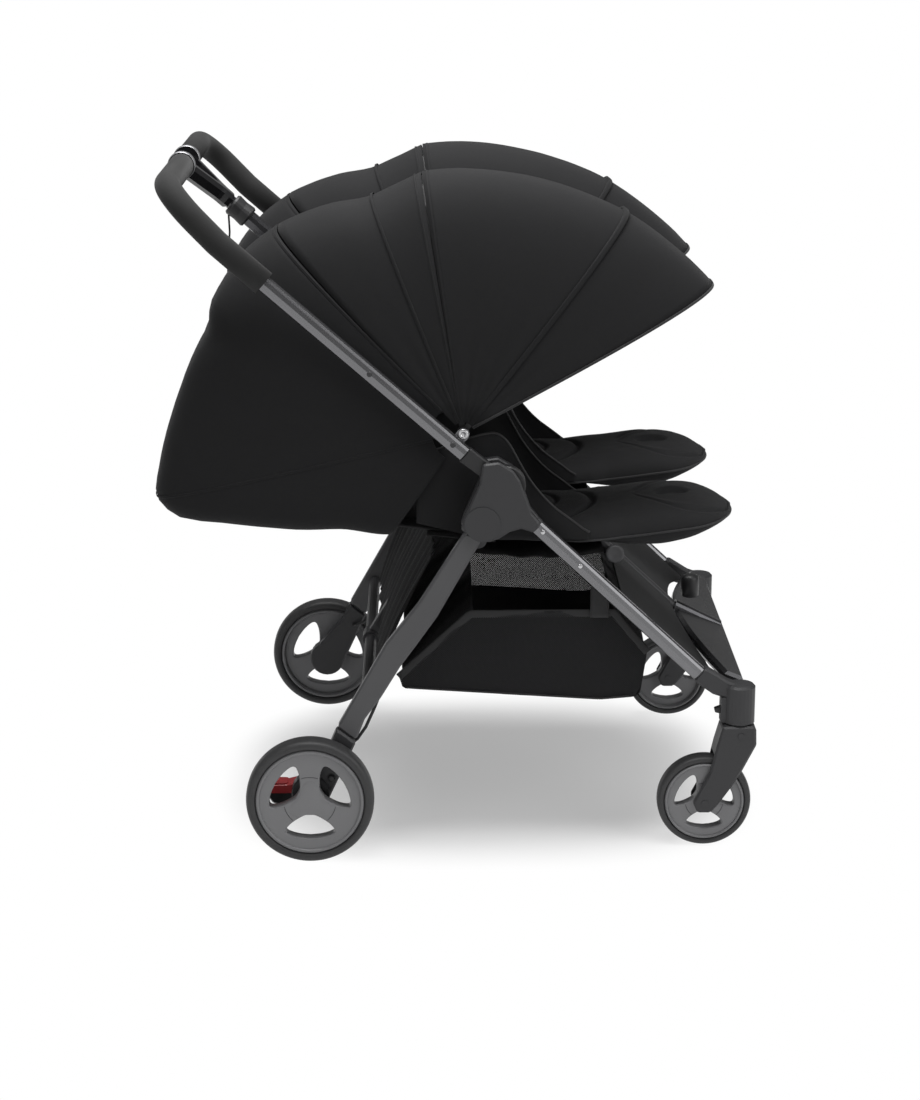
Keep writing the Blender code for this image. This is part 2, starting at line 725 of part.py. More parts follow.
def hub_plate(side):
    """Inner hub casting: both pivots, the seat tube's socket and the leg's spigot."""
    y = side * LAYER_INNER_Y
    half = TUBE_WIDTH / 2
    inner, outer = LAYER_INNER_Y - half, LAYER_INNER_Y + half
    holes = [disc("hole", PIN_RADIUS + GAP, across_at(spot, y), -PIN_REACH, PIN_REACH)
             for spot in (FOLD_AXIS, REAR_LEG_AXIS)]
    body = plate("hub", rounded(HUB_OUTLINE, HUB_CORNER), side, inner, outer, TUBE_EDGE)
    arm = plate("arm", leg_arm_ring(FRONT_LEG_TOP, FRONT_LEG_DEPTH, 0.024), side,
                inner + GAP, outer - GAP, TUBE_EDGE)
    socket = disc("socket", CROSS_TUBE_RADIUS + 0.006, across_at(SEAT_AXIS, y), -half + GAP,
                  half - GAP, 18)
    along = crossing(FRONT_LEG_TOP, FRONT_LEG_FOOT)
    depth, width = spigot_size(FRONT_LEG_DEPTH, TUBE_WIDTH)
    spigot = oval_bar("spigot", at_y(FRONT_LEG_TOP - along * 0.010, y),
                      at_y(FRONT_LEG_TOP + along * SPIGOT_LENGTH, y), depth, width)
    low, high = sorted((-side * (half + SIDE_PLAY), -side * (half - CROSS_TUBE_SEAT)))
    bore = disc("bore", CROSS_TUBE_RADIUS + GAP, across_at(SEAT_AXIS, y), low, high, 16)
    made = cut(fused(body, arm, socket, spigot), bore, *holes)
    node(f"hub_plate_{hand(side)}", made, moulding)


def pivot_pin(spot, side):
    """A pin from the cover through the knuckle and the plate, headed inside."""
    inner = LAYER_INNER_Y - TUBE_WIDTH / 2 - GAP
    tip = HUB_COVER_IN + 0.003
    profile = ((0, tip), (PIN_RADIUS, tip), (PIN_RADIUS, inner), (PIN_HEAD_RADIUS, inner),
               (PIN_HEAD_RADIUS, inner - PIN_HEAD), (0, inner - PIN_HEAD))
    frame = across_at(spot, 0)
    if side < 0:
        frame = frame @ Matrix.Rotation(pi, 4, "X")
    return turned("pin", profile, frame, PIN_STEPS)


def hub_cover(side):
    """Outer hub plate with its boss, and a bare disc over the rear leg's pivot."""
    name = "cover"
    skin = plate(name, rounded(HUB_OUTLINE, HUB_CORNER), side, HUB_COVER_IN, HUB_COVER_OUT,
                 0.0025)
    web = plate(name, HUB_WEB, side, LAYER_INNER_Y + TUBE_WIDTH / 2 + GAP, HUB_COVER_IN + 0.002)
    middle = (HUB_COVER_IN + HUB_COVER_OUT) / 2
    raised = HUB_COVER_OUT - middle + HUB_DISC_HEIGHT
    frame = across_at(REAR_LEG_AXIS, side * middle)
    low, high = sorted((0, side * raised))
    bare = disc(name, HUB_DISC_RADIUS, frame, low, high, 24)
    pins = [pivot_pin(spot, side) for spot in (FOLD_AXIS, REAR_LEG_AXIS)]
    node(f"hub_cover_{hand(side)}", fused(skin, web, bare, *pins), moulding)


def centre_spine():
    """Welded spine: clevis and pins for the centre tube and the rear strut, the seat
    tubes to both hubs and legs, and the tube to the front bar."""
    hub_end = LAYER_INNER_Y - TUBE_WIDTH / 2 + CROSS_TUBE_SEAT - GAP
    leg_end = LAYER_INNER_Y - TUBE_WIDTH / 2 - GAP
    name = "spine"
    along = crossing(FRONT_LEG_TOP, FRONT_LEG_FOOT)
    tube = oval_tube(name, at_y(FRONT_LEG_TOP - along * 0.010, 0), at_y(SPINE_FRONT, 0),
                     SPINE_DEPTH, SPINE_WIDTH, TUBE_WALL)
    web = plate(name, rounded(((0.092, 0.504), (0.099, 0.523), (0.1225, 0.504),
                               (0.1245, 0.492), (0.1165, 0.484)), 0.003), 1,
                -EAR_OUT + SIDE_PLAY, EAR_OUT - SIDE_PLAY)
    ears = []
    for side in SIDES:
        ring = rounded(((0.026, 0.528), (0.046, 0.578), (0.058, 0.586), (0.082, 0.585),
                        (0.094, 0.568), (0.124, 0.505), (0.126, 0.492), (0.118, 0.482),
                        (0.075, 0.487), (0.045, 0.464), (0.026, 0.463), (0.015, 0.474),
                        (0.014, 0.508)), 0.008)
        ears.append(plate(name, ring, side, EAR_IN, EAR_OUT))
    made = fused(tube, web, *ears)
    for side in SIDES:
        for spot, start, end in ((SEAT_AXIS, EAR_OUT - 0.003, hub_end),
                                 (FRONT_CROSS_TUBE, SPINE_WIDTH / 2 - 0.004, leg_end)):
            low, high = sorted((side * start, side * end))
            made = fused(made, disc("tube", CROSS_TUBE_RADIUS, across_at(spot, 0), low, high, 16))
    reach = EAR_OUT + PIN_HEAD
    for spot in (FOLD_AXIS, REAR_LEG_AXIS):
        profile = ((0, reach), (PIN_HEAD_RADIUS, reach), (PIN_HEAD_RADIUS, EAR_OUT - 0.001),
                   (PIN_RADIUS, EAR_OUT - 0.001), (PIN_RADIUS, 0.001 - EAR_OUT),
                   (PIN_HEAD_RADIUS, 0.001 - EAR_OUT), (PIN_HEAD_RADIUS, -reach), (0, -reach))
        made = fused(made, turned("pin", profile, across_at(spot, 0), PIN_STEPS))
    node("centre_spine", made, moulding)


def bar_depth(y):
    """How far the front bar reaches back at a distance from the middle."""
    deep = (BAR_FRONT - BAR_REAR).length
    share = min(1, abs(y) / (BAR_HALF_WIDTH - 0.004))
    return BAR_END_DEPTH + (deep - BAR_END_DEPTH) * (1 - share ** 1.8)


def front_bar():
    """Moulding across the front, arched at the back, with a socket for the spine tube."""
    along = crossing(BAR_FRONT, BAR_REAR)
    frame = plane(BAR_FRONT, along)
    count = 18
    ring = []
    for k in range(count + 1):
        y = BAR_HALF_WIDTH * (2 * k / count - 1)
        ring.append((bar_depth(y), y))
    ring += [(0, BAR_HALF_WIDTH), (0, -BAR_HALF_WIDTH)]
    down = frame @ Matrix.Translation((0, 0, BAR_THICKNESS / 2))
    body = slab("bar", (ring,), BAR_THICKNESS, down, BAR_EDGE)
    ridge_start = BAR_FRONT + along * 0.012
    ridge_end = BAR_REAR + along * 0.004
    ridge = oval_bar("ridge", at_y(ridge_start, 0) - Vector((0, 0, 0.010)),
                     at_y(ridge_end, 0) - Vector((0, 0, 0.004)), 0.026, 0.030)
    leg_along = crossing(FRONT_LEG_TOP, FRONT_LEG_FOOT)
    socket = oval_bar("socket", at_y(SPINE_FRONT - leg_along * 0.060, 0),
                      at_y(SPINE_FRONT + leg_along * GAP, 0), SPINE_DEPTH + 2 * GAP,
                      SPINE_WIDTH + 2 * GAP)
    spigot = oval_bar("spigot", at_y(SPINE_FRONT - leg_along * SPIGOT_LENGTH, 0),
                      at_y(SPINE_FRONT + leg_along * 0.006, 0), *spigot_size(SPINE_DEPTH, SPINE_WIDTH))
    made = cut(fused(body, ridge), socket)
    node("front_bar", fused(made, spigot), bar_grey)


def foot_panel(side):
    """A flat panel between a leg and the spine, ending behind the front bar."""
    along = crossing(FRONT_LEG_TOP, FRONT_LEG_FOOT)
    square = Vector((-along.y, along.x))
    origin = FRONT_LEG_TOP + square * PANEL_LIFT
    start = (PANEL_TOP_X - origin.x) / along.x
    inner = SPINE_WIDTH / 2 + SIDE_PLAY
    outer = LAYER_INNER_Y - TUBE_WIDTH / 2 - GAP
    back = abs(crossing(BAR_FRONT, BAR_REAR).x)
    beside_arm = FRONT_WHEEL_Y - HOUSING_ARM_HALF - SIDE_PLAY
    notch = (PANEL_NOTCH_X - origin.x) / along.x
    ring = []
    for k in range(9):
        y = inner + (beside_arm - inner) * k / 8
        seam = BAR_FRONT.x - bar_depth(y) * back - PANEL_SETBACK
        ring.append(((seam - origin.x) / along.x, side * y))
    ring += [(notch, side * beside_arm), (notch, side * outer), (start, side * outer),
             (start, side * inner)]
    made = slab("panel", (ring,), PANEL_THICKNESS, plane(origin, along))
    node(f"foot_panel_{hand(side)}", made, panel_grey)


# Upper frame: handle, push tubes and centre tube
def hood_bracket(side):
    """Tab on a push tube with the pin that carries one end of the hood's bows."""
    along = crossing(PUSH_TUBE_TOP, PUSH_TUBE_FOOT)
    foot = PUSH_TUBE_TOP + along * (HOOD_AXIS - PUSH_TUBE_TOP).dot(along)
    lean = (HOOD_AXIS - foot).normalized()
    beside = Vector((-lean.y, lean.x)) * BRACKET_RADIUS
    low_end = foot - lean * 0.004
    high_end = HOOD_AXIS + lean * BRACKET_RADIUS
    ring = rounded((low_end + beside, low_end - beside, high_end - beside, high_end + beside),
                   BRACKET_RADIUS * 0.95)
    tab = plate("bracket", ring, side, BRACKET_IN, BRACKET_OUT)
    low, high = sorted((side * (CABIN_Y + HOOD_PIN_REACH), side * (BRACKET_IN + 0.001)))
    return fused(tab, disc("pin", HOOD_PIN_RADIUS, across_at(HOOD_AXIS, 0), low, high, 14))


def push_tube(side):
    y = side * LAYER_OUTER_Y
    along = crossing(PUSH_TUBE_TOP, PUSH_TUBE_FOOT)
    tube = oval_tube("tube", at_y(PUSH_TUBE_TOP + along * GAP, y),
                     at_y(PUSH_TUBE_FOOT - along * GAP, y), PUSH_TUBE_DEPTH, TUBE_WIDTH)
    node(f"push_tube_{hand(side)}", fused(tube, hood_bracket(side)), gunmetal)


def push_collar(side):
    """Knuckle on the fold axis, with a collar and spigot for the push tube."""
    along = crossing(PUSH_TUBE_TOP, PUSH_TUBE_FOOT)
    square = Vector((-along.y, along.x)) * (PUSH_TUBE_DEPTH / 2 + 0.0005)
    half = TUBE_WIDTH / 2
    y = side * LAYER_OUTER_Y
    ring = rounded((PUSH_TUBE_FOOT + square, FOLD_AXIS + square * 0.9,
                    FOLD_AXIS - square * 0.9, PUSH_TUBE_FOOT - square), 0.002)
    arm = plate("collar", ring, side, LAYER_OUTER_Y - half + GAP, LAYER_OUTER_Y + half - GAP,
                TUBE_EDGE)
    knuckle = turned("collar", ((0, half), (KNUCKLE_RADIUS - TUBE_EDGE, half),
                                (KNUCKLE_RADIUS, half - TUBE_EDGE),
                                (KNUCKLE_RADIUS, -half + TUBE_EDGE),
                                (KNUCKLE_RADIUS - TUBE_EDGE, -half), (0, -half)),
                     across_at(FOLD_AXIS, y), 24)
    spigot = oval_bar("spigot", at_y(PUSH_TUBE_FOOT - along * SPIGOT_LENGTH, y),
                      at_y(PUSH_TUBE_FOOT + along * 0.010, y),
                      *spigot_size(PUSH_TUBE_DEPTH, TUBE_WIDTH))
    bore = disc("bore", PIN_RADIUS + GAP, across_at(FOLD_AXIS, y), -half - GAP, half + GAP, 14)
    made = cut(fused(knuckle, arm, spigot), bore)
    node(f"push_collar_{hand(side)}", made, black_plastic, at_y(FOLD_AXIS, y))


def handle_line(side_start):
    """The handle tube's line from one end to the other, with its rounded corners."""
    along = crossing(PUSH_TUBE_TOP, PUSH_TUBE_FOOT)
    y = LAYER_OUTER_Y
    corner = at_y(CROSSBAR, -y)
    points = [at_y(PUSH_TUBE_TOP + along * side_start, -y), at_y(HANDLE_KINK, -y), corner,
              at_y(CROSSBAR, y), at_y(HANDLE_KINK, y),
              at_y(PUSH_TUBE_TOP + along * side_start, y)]
    return rounded(points, HANDLE_BEND_RADIUS, closed=False)


def handle_bar():
    made = wire("bar", handle_line(SPIGOT_LENGTH), HANDLE_TUBE_RADIUS, 2)
    node("handle_bar", made, gunmetal)


def grip(side):
    """Foam sleeve on the handle tube, from the push tube to the yoke."""
    line = handle_line(-GAP)
    half = [point for point in line if point.y * side > 0]
    if side < 0:
        half = half[::-1]
    half = half[::-1] if half[0].x < half[-1].x else half
    half.append(Vector((CROSSBAR.x, side * GRIP_END_Y, CROSSBAR.y)))
    made = wire("grip", half, GRIP_RADIUS, 6)
    core = wire("core", handle_line(SPIGOT_LENGTH), HANDLE_TUBE_RADIUS + GAP, 2)
    node(f"grip_{hand(side)}", cut(made, core), foam)


def centre_line(distance):
    """A point on the line from the crossbar to the fold axis, in the middle plane."""
    along = crossing(CROSSBAR, FOLD_AXIS)
    return at_y(CROSSBAR + along * distance, 0)


def handle_yoke():
    """Two arms that clasp the crossbar and meet at the centre tube."""
    along = crossing(CROSSBAR, FOLD_AXIS)
    outer = ((0, -YOKE_BAND_OUT + 0.002), (0.014, -YOKE_BAND_OUT + 0.001),
             (YOKE_LENGTH * 0.78, -YOKE_STEM_HALF), (YOKE_LENGTH, -YOKE_STEM_HALF),
             (YOKE_LENGTH, YOKE_STEM_HALF), (YOKE_LENGTH * 0.78, YOKE_STEM_HALF),
             (0.014, YOKE_BAND_OUT - 0.001), (0, YOKE_BAND_OUT - 0.002))
    opening = ((-0.012, -0.027), (-0.012, 0.027), (0.022, 0.024), (0.056, 0.008),
               (0.060, 0), (0.056, -0.008), (0.022, -0.024))
    arms = slab("yoke", (rounded(outer, 0.012),), 2 * YOKE_HALF_THICKNESS,
                plane(CROSSBAR, along), YOKE_EDGE)
    window = slab("window", (rounded(opening, 0.006),), 0.060, plane(CROSSBAR, along))
    bands = [disc("band", YOKE_BAND_RADIUS, across_at(CROSSBAR, 0),
                  *sorted((side * YOKE_BAND_IN, side * (YOKE_BAND_OUT - GAP))), 18)
             for side in SIDES]
    spigot = rod("spigot", centre_line(YOKE_LENGTH - 0.005),
                 centre_line(YOKE_LENGTH + SPIGOT_LENGTH),
                 CENTRE_TUBE_RADIUS - TUBE_WALL - GAP, 4)
    bore = disc("bore", HANDLE_TUBE_RADIUS + GAP, across_at(CROSSBAR, 0), -0.08, 0.08, 14)
    made = cut(arms, window)
    made = cut(fused(made, *bands, spigot), bore)
    node("handle_yoke", made, gloss_black)


def centre_tube():
    """Round tube from the yoke to the clevis, with its knuckle on the fold axis."""
    along = crossing(CROSSBAR, FOLD_AXIS)
    length = (FOLD_AXIS - CROSSBAR).length
    tube = rod("tube", centre_line(YOKE_LENGTH + GAP), centre_line(length - 0.034),
               CENTRE_TUBE_RADIUS, 4)
    hollow = rod("hollow", centre_line(YOKE_LENGTH - 0.01), centre_line(length - 0.060),
                 CENTRE_TUBE_RADIUS - TUBE_WALL, 4)
    neck = slab("neck", (((0, 0.0085), (0.045, 0.0085), (0.045, -0.0085), (0, -0.0085)),),
                2 * (CENTRE_KNUCKLE_HALF - GAP), side_view(0) @ Matrix.Translation(
                    (FOLD_AXIS.x - along.x * 0.045, FOLD_AXIS.y - along.y * 0.045, 0))
                @ Matrix.Rotation(atan2(along.y, along.x), 4, "Z"), 0.001)
    knuckle = disc("knuckle", CENTRE_KNUCKLE_RADIUS, across_at(FOLD_AXIS, 0),
                   -CENTRE_KNUCKLE_HALF, CENTRE_KNUCKLE_HALF, 18)
    bore = disc("bore", PIN_RADIUS + GAP, across_at(FOLD_AXIS, 0), -0.02, 0.02, 14)
    spot = at_y(CROSSBAR + along * (HOOD_AXIS - CROSSBAR).dot(along), 0)
    frame = square_to(spot, Vector((along.x, 0, along.y)))
    clamp = disc("clamp", CENTRE_TUBE_RADIUS + CLAMP_WALL, frame, -CLAMP_LENGTH / 2,
                 CLAMP_LENGTH / 2, 18)
    rods = disc("rods", HOOD_ROD_RADIUS, across_at(HOOD_AXIS, 0), -HOOD_ROD_REACH,
                HOOD_ROD_REACH, 16)
    pins = disc("pins", HOOD_PIN_RADIUS, across_at(HOOD_AXIS, 0), HOOD_PIN_REACH - CABIN_Y,
                CABIN_Y - HOOD_PIN_REACH, 14)
    made = cut(fused(tube, clamp, rods, pins, neck, knuckle), hollow, bore)
    node("centre_tube", made, gunmetal, at_y(FOLD_AXIS, 0))


def release_sleeve():
    """Sliding fold release round the top of the centre tube."""
    start = YOKE_LENGTH + GAP
    middle = centre_line(start + SLEEVE_LENGTH / 2)
    along = crossing(CROSSBAR, FOLD_AXIS)
    half = SLEEVE_LENGTH / 2
    bore = CENTRE_TUBE_RADIUS + GAP
    profile = ((SLEEVE_RADIUS - 0.002, half), (SLEEVE_RADIUS, half - 0.003),
               (SLEEVE_RADIUS - 0.0012, 0), (SLEEVE_RADIUS, -half + 0.003),
               (SLEEVE_RADIUS - 0.002, -half), (bore, -half), (bore, half))
    made = turned("sleeve", profile, square_to(middle, Vector((along.x, 0, along.y))), 24, True)
    node("release_sleeve", made, black_plastic, middle)


def wrist_strap():
    """Safety strap that hangs from the underside of the yoke."""
    cord = wire("strap", [at_y(spot, 0) for spot in STRAP_CORD], STRAP_CORD_RADIUS, 2)
    top = Vector(STRAP_CORD[-1])
    down = crossing(top, STRAP_END)
    start = top - down * 0.004
    frame = plane(start, down) @ Matrix.Translation(((STRAP_END - start).length / 2, 0, 0))
    half = (STRAP_END - start).length / 2
    web = slab("web", (rounded(((-half, -STRAP_WIDTH / 2), (half, -STRAP_WIDTH / 2),
                                (half, STRAP_WIDTH / 2), (-half, STRAP_WIDTH / 2)), 0.003),),
               STRAP_THICKNESS + 0.002, frame, 0.001)
    node("wrist_strap", fused(web, cord), fabric)


# Rear frame: legs, crossbar, brake housings, pedal, cable and basket
def rear_leg(side):
    half = TUBE_WIDTH / 2
    inner, outer = LAYER_OUTER_Y - half, LAYER_OUTER_Y + half
    leg = plate("leg", rounded(REAR_LEG_OUTLINE, 0.006), side, inner + GAP, outer - GAP, 0.003)
    knuckle = turned("leg", ((0, half), (REAR_KNUCKLE_RADIUS - TUBE_EDGE, half),
                             (REAR_KNUCKLE_RADIUS, half - TUBE_EDGE),
                             (REAR_KNUCKLE_RADIUS, -half + TUBE_EDGE),
                             (REAR_KNUCKLE_RADIUS - TUBE_EDGE, -half), (0, -half)),
                     across_at(REAR_LEG_AXIS, side * LAYER_OUTER_Y), 24)
    bore = disc("bore", PIN_RADIUS + GAP, across_at(REAR_LEG_AXIS, side * LAYER_OUTER_Y),
                -half - GAP, half + GAP, 14)
    node(f"rear_leg_{hand(side)}", cut(fused(leg, knuckle), bore), moulding,
         at_y(REAR_LEG_AXIS, side * LAYER_OUTER_Y))


def rear_crossbar():
    """Crossbar between the rear legs, with the strut from the spine's clevis."""
    end = LAYER_OUTER_Y - TUBE_WIDTH / 2 - GAP
    bar = disc("bar", REAR_CROSSBAR_RADIUS, across_at(REAR_CROSSBAR, 0), -end, end, 14)
    along = crossing(REAR_LEG_AXIS, REAR_CROSSBAR)
    length = (REAR_CROSSBAR - REAR_LEG_AXIS).length
    frame = (side_view(0) @ Matrix.Translation((REAR_LEG_AXIS.x, REAR_LEG_AXIS.y, 0))
             @ Matrix.Rotation(atan2(along.y, along.x), 4, "Z"))
    ring = ((0, STRUT_HALF_DEPTH), (0, -STRUT_HALF_DEPTH), (length, -STRUT_HALF_DEPTH * 0.85),
            (length, STRUT_HALF_DEPTH * 0.85))
    strut = slab("strut", (ring,), 2 * (CENTRE_KNUCKLE_HALF - GAP), frame, TUBE_EDGE)
    knuckle = disc("knuckle", CENTRE_KNUCKLE_RADIUS, across_at(REAR_LEG_AXIS, 0),
                   -CENTRE_KNUCKLE_HALF, CENTRE_KNUCKLE_HALF, 24)
    clasp = disc("clasp", REAR_CROSSBAR_RADIUS + 0.004, across_at(REAR_CROSSBAR, 0),
                 -0.017, 0.017, 14)
    bore = disc("bore", PIN_RADIUS + GAP, across_at(REAR_LEG_AXIS, 0), -0.02, 0.02, 14)
    made = cut(fused(bar, clasp, strut, knuckle), bore)
    node("rear_crossbar", made, moulding, at_y(REAR_LEG_AXIS, 0))


def brake_housing(side):
    """Foot of the rear leg: brake drum, stub axle and the pedal's shaft on the right."""
    heel, toe = Vector(REAR_LEG_OUTLINE[3]), Vector(REAR_LEG_OUTLINE[4])
    down = Vector((toe.y - heel.y, heel.x - toe.x)).normalized()
    y = side * (DRUM_IN + DRUM_OUT) / 2
    half = (DRUM_OUT - DRUM_IN) / 2
    top = [heel + down * GAP, toe + down * GAP]
    ring = rounded((top[0], top[1], REAR_AXLE + Vector((0.0285, -0.006)),
                    REAR_AXLE + Vector((0.010, -0.022)), REAR_AXLE + Vector((-0.0285, 0.008)),
                    top[0] + Vector((-0.012, -0.028))), 0.004)
    body = plate("housing", ring, side, DRUM_IN, DRUM_OUT - 0.004, 0.003)
    drum = turned("drum", ((0, half), (DRUM_RADIUS - 0.004, half), (DRUM_RADIUS, half - 0.004),
                           (DRUM_RADIUS, -half + 0.002), (DRUM_RADIUS - 0.002, -half), (0, -half)),
                  across_at(REAR_AXLE, y), 24)
    axle_low, axle_high = sorted((side * (DRUM_OUT - 0.002), side * AXLE_REACH))
    axle = disc("axle", REAR_AXLE_RADIUS, across_at(REAR_AXLE, 0), axle_low, axle_high, 16)
    made = fused(body, drum, axle)
    if side < 0:
        shaft = disc("shaft", PEDAL_SHAFT_RADIUS, across_at(REAR_AXLE, 0), -DRUM_IN - 0.002,
                     -PEDAL_IN + 0.001, 16)
        made = fused(made, shaft)
    node(f"brake_housing_{hand(side)}", made, moulding, at_y(REAR_AXLE, y))


def brake_pedal():
    """Foot lever on the right, turning on the brake shaft, with a raised pad."""
    ring = rounded(PEDAL_OUTLINE, 0.004)
    lever = plate("pedal", ring, -1, PEDAL_IN, PEDAL_OUT, 0.002)
    boss = disc("boss", PEDAL_BOSS_RADIUS, across_at(REAR_AXLE, 0), -PEDAL_OUT + GAP,
                -PEDAL_IN - GAP, 16)
    pad = slab("pad", (rounded(((-0.017, -0.013), (0.017, -0.013), (0.017, 0.013),
                                (-0.017, 0.013)), 0.004),), 0.004,
               plane((-0.2715, 0.1005), (1, -0.02)) @ Matrix.Translation(
                   (0, -(PEDAL_IN + PEDAL_OUT) / 2, 0)))
    bore = disc("bore", PEDAL_SHAFT_RADIUS + GAP, across_at(REAR_AXLE, 0), -0.33, -0.27, 16)
    node("brake_pedal", cut(fused(lever, boss, pad), bore), pedal_red,
         at_y(REAR_AXLE, -(PEDAL_IN + PEDAL_OUT) / 2))


def brake_cable():
    """Cable from one brake housing up the leg, along the crossbar and down again."""
    reach = DRUM_IN - GAP
    run = [(-0.172, reach, 0.158), (-0.172, CABLE_Y, 0.158), (-0.152, CABLE_Y, 0.166),
           (-0.137, CABLE_Y, 0.188), (-0.1185, CABLE_Y - 0.004, 0.229),
           (-0.1185, CABLE_Y - 0.045, 0.229)]
    right = [Vector((x, -y, z)) for x, y, z in run]
    left = [Vector((x, y, z)) for x, y, z in reversed(run)]
    line = rounded(right + left, 0.014, closed=False)
    node("brake_cable", wire("cable", line, CABLE_RADIUS, 2), black_plastic,
         at_y(REAR_LEG_AXIS, 0))


def basket():
    """Open fabric basket under the seats, with tabs to the legs and the crossbar."""
    ring = rounded(BASKET_OUTLINE, BASKET_CORNER)
    tub = plate("basket", ring, 1, -BASKET_HALF_WIDTH, BASKET_HALF_WIDTH, 0.010)
    low = BASKET_WALL
    room = ((-0.083, 0.262), (-0.079, 0.245), (0.214, 0.221 + low), (0.270, 0.226 + low),
            (0.284 - low - 0.001, 0.300), (0.235, 0.400), (-0.02, 0.400))
    space = plate("space", rounded(room, BASKET_CORNER), 1, -BASKET_HALF_WIDTH + low,
                  BASKET_HALF_WIDTH - low, 0.007)
    made = cut(tub, space)
    leg_face = LAYER_INNER_Y - TUBE_WIDTH / 2 - GAP
    for side in SIDES:
        strap = side_block("tab", side, (0.196, 0.226), (BASKET_HALF_WIDTH - 0.002, leg_face),
                           (0.352, 0.402))
        bar_tab = side_block("tab", side, (REAR_CROSSBAR.x + REAR_CROSSBAR_RADIUS + GAP, -0.078),
                             (0.200, 0.240), (0.243, 0.247))
        made = fused(made, strap, bar_tab)
    node("basket", made, fabric)


# Seats, backrests and leg rests
def cushion(name, size, corner, crown, frame):
    """A padded block: x and y sides drawn in, a crown on its top face."""
    length, width, height = size
    columns, rows = 3, 3
    shape = bmesh.new()
    grid = {}
    for level in (0, 1):
        for column in range(columns + 1):
            for row in range(rows + 1):
                u = 2 * column / columns - 1
                v = 2 * row / rows - 1
                x = length / 2 * power_curve(sin(u * pi / 2), 2.6)
                y = width / 2 * power_curve(sin(v * pi / 2), 2.6)
                pull = 1 - corner * (u * v) ** 2
                rise = height + crown * (1 - u * u) * (1 - v * v) if level else 0
                grid[level, column, row] = shape.verts.new((x * pull, y * pull, rise))
    for column in range(columns):
        for row in range(rows):
            for level in (0, 1):
                quad = [grid[level, column, row], grid[level, column + 1, row],
                        grid[level, column + 1, row + 1], grid[level, column, row + 1]]
                shape.faces.new(quad if level else quad[::-1])
    border = ([(column, 0) for column in range(columns)] + [(columns, row) for row in range(rows)]
              + [(columns - column, rows) for column in range(columns)]
              + [(0, rows - row) for row in range(rows)])
    for here, there in zip(border, border[1:] + border[:1]):
        shape.faces.new((grid[(0, *here)], grid[(0, *there)], grid[(1, *there)], grid[(1, *here)]))
    mesh = bpy.data.meshes.new(name)
    shape.to_mesh(mesh)
    shape.free()
    holder = link(name, mesh)
    holder.matrix_world = frame
    smooth = holder.modifiers.new("smooth", "SUBSURF")
    smooth.levels = 1
    smooth.render_levels = 1
    return solid(holder)


def cabin(side):
    return side * CABIN_Y


def seat(side):
    """Seat cushion on the two seat tubes, with ears that carry the leg rest."""
    middle = cabin(side)
    bottom = FRONT_CROSS_TUBE.y + CROSS_TUBE_RADIUS + GAP
    length = SEAT_FRONT - SEAT_REAR
    frame = Matrix.Translation(((SEAT_FRONT + SEAT_REAR) / 2, middle, bottom))
    pad = cushion("seat", (length, 2 * SEAT_HALF_WIDTH, SEAT_TOP - bottom), 0.06, SEAT_CROWN, frame)
    base = slab("base", (rounded(((-length / 2 + 0.008, -SEAT_HALF_WIDTH + 0.002),
                                  (length / 2, -SEAT_HALF_WIDTH + 0.002),
                                  (length / 2, SEAT_HALF_WIDTH - 0.002),
                                  (-length / 2 + 0.008, SEAT_HALF_WIDTH - 0.002)), 0.012),),
                0.008, frame @ Matrix.Translation((0, 0, 0.004)))
    made = fused(pad, base)
    for end in (-1, 1):
        inner = SEAT_HALF_WIDTH - EAR_THICKNESS
        y = middle + end * (inner + EAR_THICKNESS / 2)
        ring = rounded(((SEAT_FRONT - 0.040, bottom + 0.006), (SEAT_FRONT - 0.002, bottom + 0.006),
                        (LEG_REST_AXIS.x + 0.004, bottom - 0.002), LEG_REST_AXIS,
                        (SEAT_FRONT - 0.030, bottom)), 0.003)
        ear = slab("ear", (ring,), EAR_THICKNESS - 2 * GAP, side_view(y))
        eye = disc("eye", LEG_REST_EAR_RADIUS, across_at(LEG_REST_AXIS, y), -EAR_THICKNESS / 2,
                   EAR_THICKNESS / 2)
        hole = disc("hole", LEG_REST_PIN_RADIUS + GAP, across_at(LEG_REST_AXIS, y),
                    -EAR_THICKNESS, EAR_THICKNESS, 12)
        made = cut(fused(made, ear, eye), hole)
    node(f"seat_{hand(side)}", made, padding)


